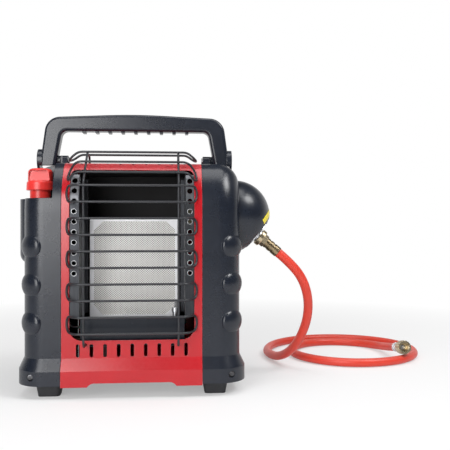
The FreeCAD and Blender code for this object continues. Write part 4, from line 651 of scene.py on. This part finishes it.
bpy.ops.object.select_all(action="DESELECT")
bpy.ops.mesh.primitive_uv_sphere_add(segments=160, ring_count=80, radius=ball_radius + label_lift,
                                     location=dome_centre,
                                     rotation=inlet_axis.to_track_quat("Z", "Y").to_euler())
label = bpy.context.object
label.name = "blank_label"
bpy.ops.object.transform_apply(location=True, rotation=True, scale=True)
bpy.ops.object.mode_set(mode="EDIT")
for place, direction, clear_low in (
        (dome_centre + inlet_axis * label_near, inlet_axis, True),
        (dome_centre + inlet_axis * label_far, inlet_axis, False),
        (dome_centre, around(label_start), True),
        (dome_centre, around(label_stop), False)):
    bpy.ops.mesh.select_all(action="SELECT")
    bpy.ops.mesh.bisect(plane_co=place, plane_no=direction, clear_inner=clear_low,
                        clear_outer=not clear_low)
bpy.ops.mesh.select_all(action="SELECT")
bpy.ops.mesh.normals_make_consistent(inside=False)
bpy.ops.object.mode_set(mode="OBJECT")
fasten(label, "thickness", "SOLIDIFY", thickness=label_thick, offset=1.0)
for face in label.data.polygons:
    face.use_smooth = face.area > least_smooth_area
label.data.materials.clear()
label.data.materials.append(coated(
    "yellow_vinyl", colours=((0.68, 0.54, 0.02), (0.86, 0.73, 0.04)), gloss=(0.24, 0.44),
    scales=(500.0, 160.0), smears=(60.0, 0.2)))
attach(label, "regulator")


# Screws: zinc plated pan heads with a cross recess, coloured a dark grey. The grey is partly the dull
# zinc and partly painted shade of the deep holes that the skirt screws sit in. Two hold the skirts,
# six the rear panel and four the feet. One is modelled at the origin, head up, and each place gets
# a copy of it.
head_radius, head_high, shank_radius, shank_long = 0.0040, 0.0018, 0.0021, 0.010
crown_steps = ((0.0006, 0.0003), (0.0010, 0.0002))
tip_inset, tip_long = 0.0006, 0.0008
recess_long, recess_wide, cutter_high, cutter_lift = 0.0044, 0.0009, 0.0024, 0.0005
head_up = 0.9
turn_per_screw = 37
bpy.ops.object.select_all(action="DESELECT")
bpy.ops.mesh.primitive_cylinder_add(vertices=40, radius=head_radius, depth=head_high,
                                    location=(0, 0, head_high / 2))
screw = bpy.context.object
screw.name = "screw_pattern"
bpy.ops.object.transform_apply(location=True, rotation=True, scale=True)


def pick(item, chosen):
    """Selects, in edit mode, only the faces that are chosen."""
    bpy.ops.object.mode_set(mode="EDIT")
    bpy.ops.mesh.select_all(action="DESELECT")
    bpy.ops.object.mode_set(mode="OBJECT")
    for face in item.data.polygons:
        face.select = chosen(face)
    bpy.ops.object.mode_set(mode="EDIT")


pick(screw, lambda face: face.normal.z > head_up)
for step_in, step_up in crown_steps:
    bpy.ops.mesh.inset(thickness=step_in)
    bpy.ops.transform.translate(value=(0, 0, step_up))
pick(screw, lambda face: face.normal.z < -head_up)
bpy.ops.mesh.inset(thickness=head_radius - shank_radius)
bpy.ops.mesh.extrude_region_move(TRANSFORM_OT_translate={"value": (0, 0, -shank_long)})
bpy.ops.mesh.inset(thickness=tip_inset)
bpy.ops.transform.translate(value=(0, 0, -tip_long))
bpy.ops.object.mode_set(mode="OBJECT")
for turn in (0, math.pi / 2):
    bpy.ops.object.select_all(action="DESELECT")
    bpy.ops.mesh.primitive_cube_add(size=1, location=(0, 0, head_high + cutter_lift),
                                    rotation=(0, 0, turn), scale=(recess_long, recess_wide, cutter_high))
    cutter = bpy.context.object
    fasten(screw, "recess", "BOOLEAN", operation="DIFFERENCE", object=cutter)
    bpy.data.objects.remove(cutter)
# The heads' dark grey is partly painted shade of the deep holes that the skirt screws sit in.
screw.data.materials.clear()
screw.data.materials.append(coated(
    "screw_zinc", colours=((0.05, 0.05, 0.055), (0.20, 0.20, 0.21)), gloss=(0.26, 0.46),
    scales=(900.0, 300.0), metallic=1.0))

# Each row holds the CAD node that the screws stand for, the way their heads face, and the places
# of their head seats.
skirt_x, skirt_seat_y, skirt_z = (-0.1562, 0.1038), -0.0660, 0.028
rear_x, rear_seat_y, rear_levels = (-0.1062, 0.0538), 0.0925, (0.040, 0.150, 0.255)
foot_x, foot_y, foot_seat_z = (-0.1352, 0.0828), (-0.0455, 0.0665), 0.0048
screw_groups = (
    ("skirt_screws", (0, -1, 0), [(x, skirt_seat_y, skirt_z) for x in skirt_x]),
    ("rear_screws", (0, 1, 0), [(x, rear_seat_y, z) for x in rear_x for z in rear_levels]),
    ("foot_screws", (0, 0, -1), [(x, y, foot_seat_z) for x in foot_x for y in foot_y]),
)
for node, head_faces, places in screw_groups:
    tilt = Vector(head_faces).to_track_quat("Z", "Y").to_matrix().to_4x4()
    for number, place in enumerate(places, 1):
        copy = screw.copy()
        copy.data = screw.data.copy()
        copy.name = f"{node[:-1]}_{number}"
        twist = Matrix.Rotation(math.radians(turn_per_screw * number), 4, "Z")
        copy.data.transform(Matrix.Translation(place) @ tilt @ twist)
        bpy.context.scene.collection.objects.link(copy)
        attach(copy, "case")
        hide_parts(node)
bpy.data.objects.remove(screw)
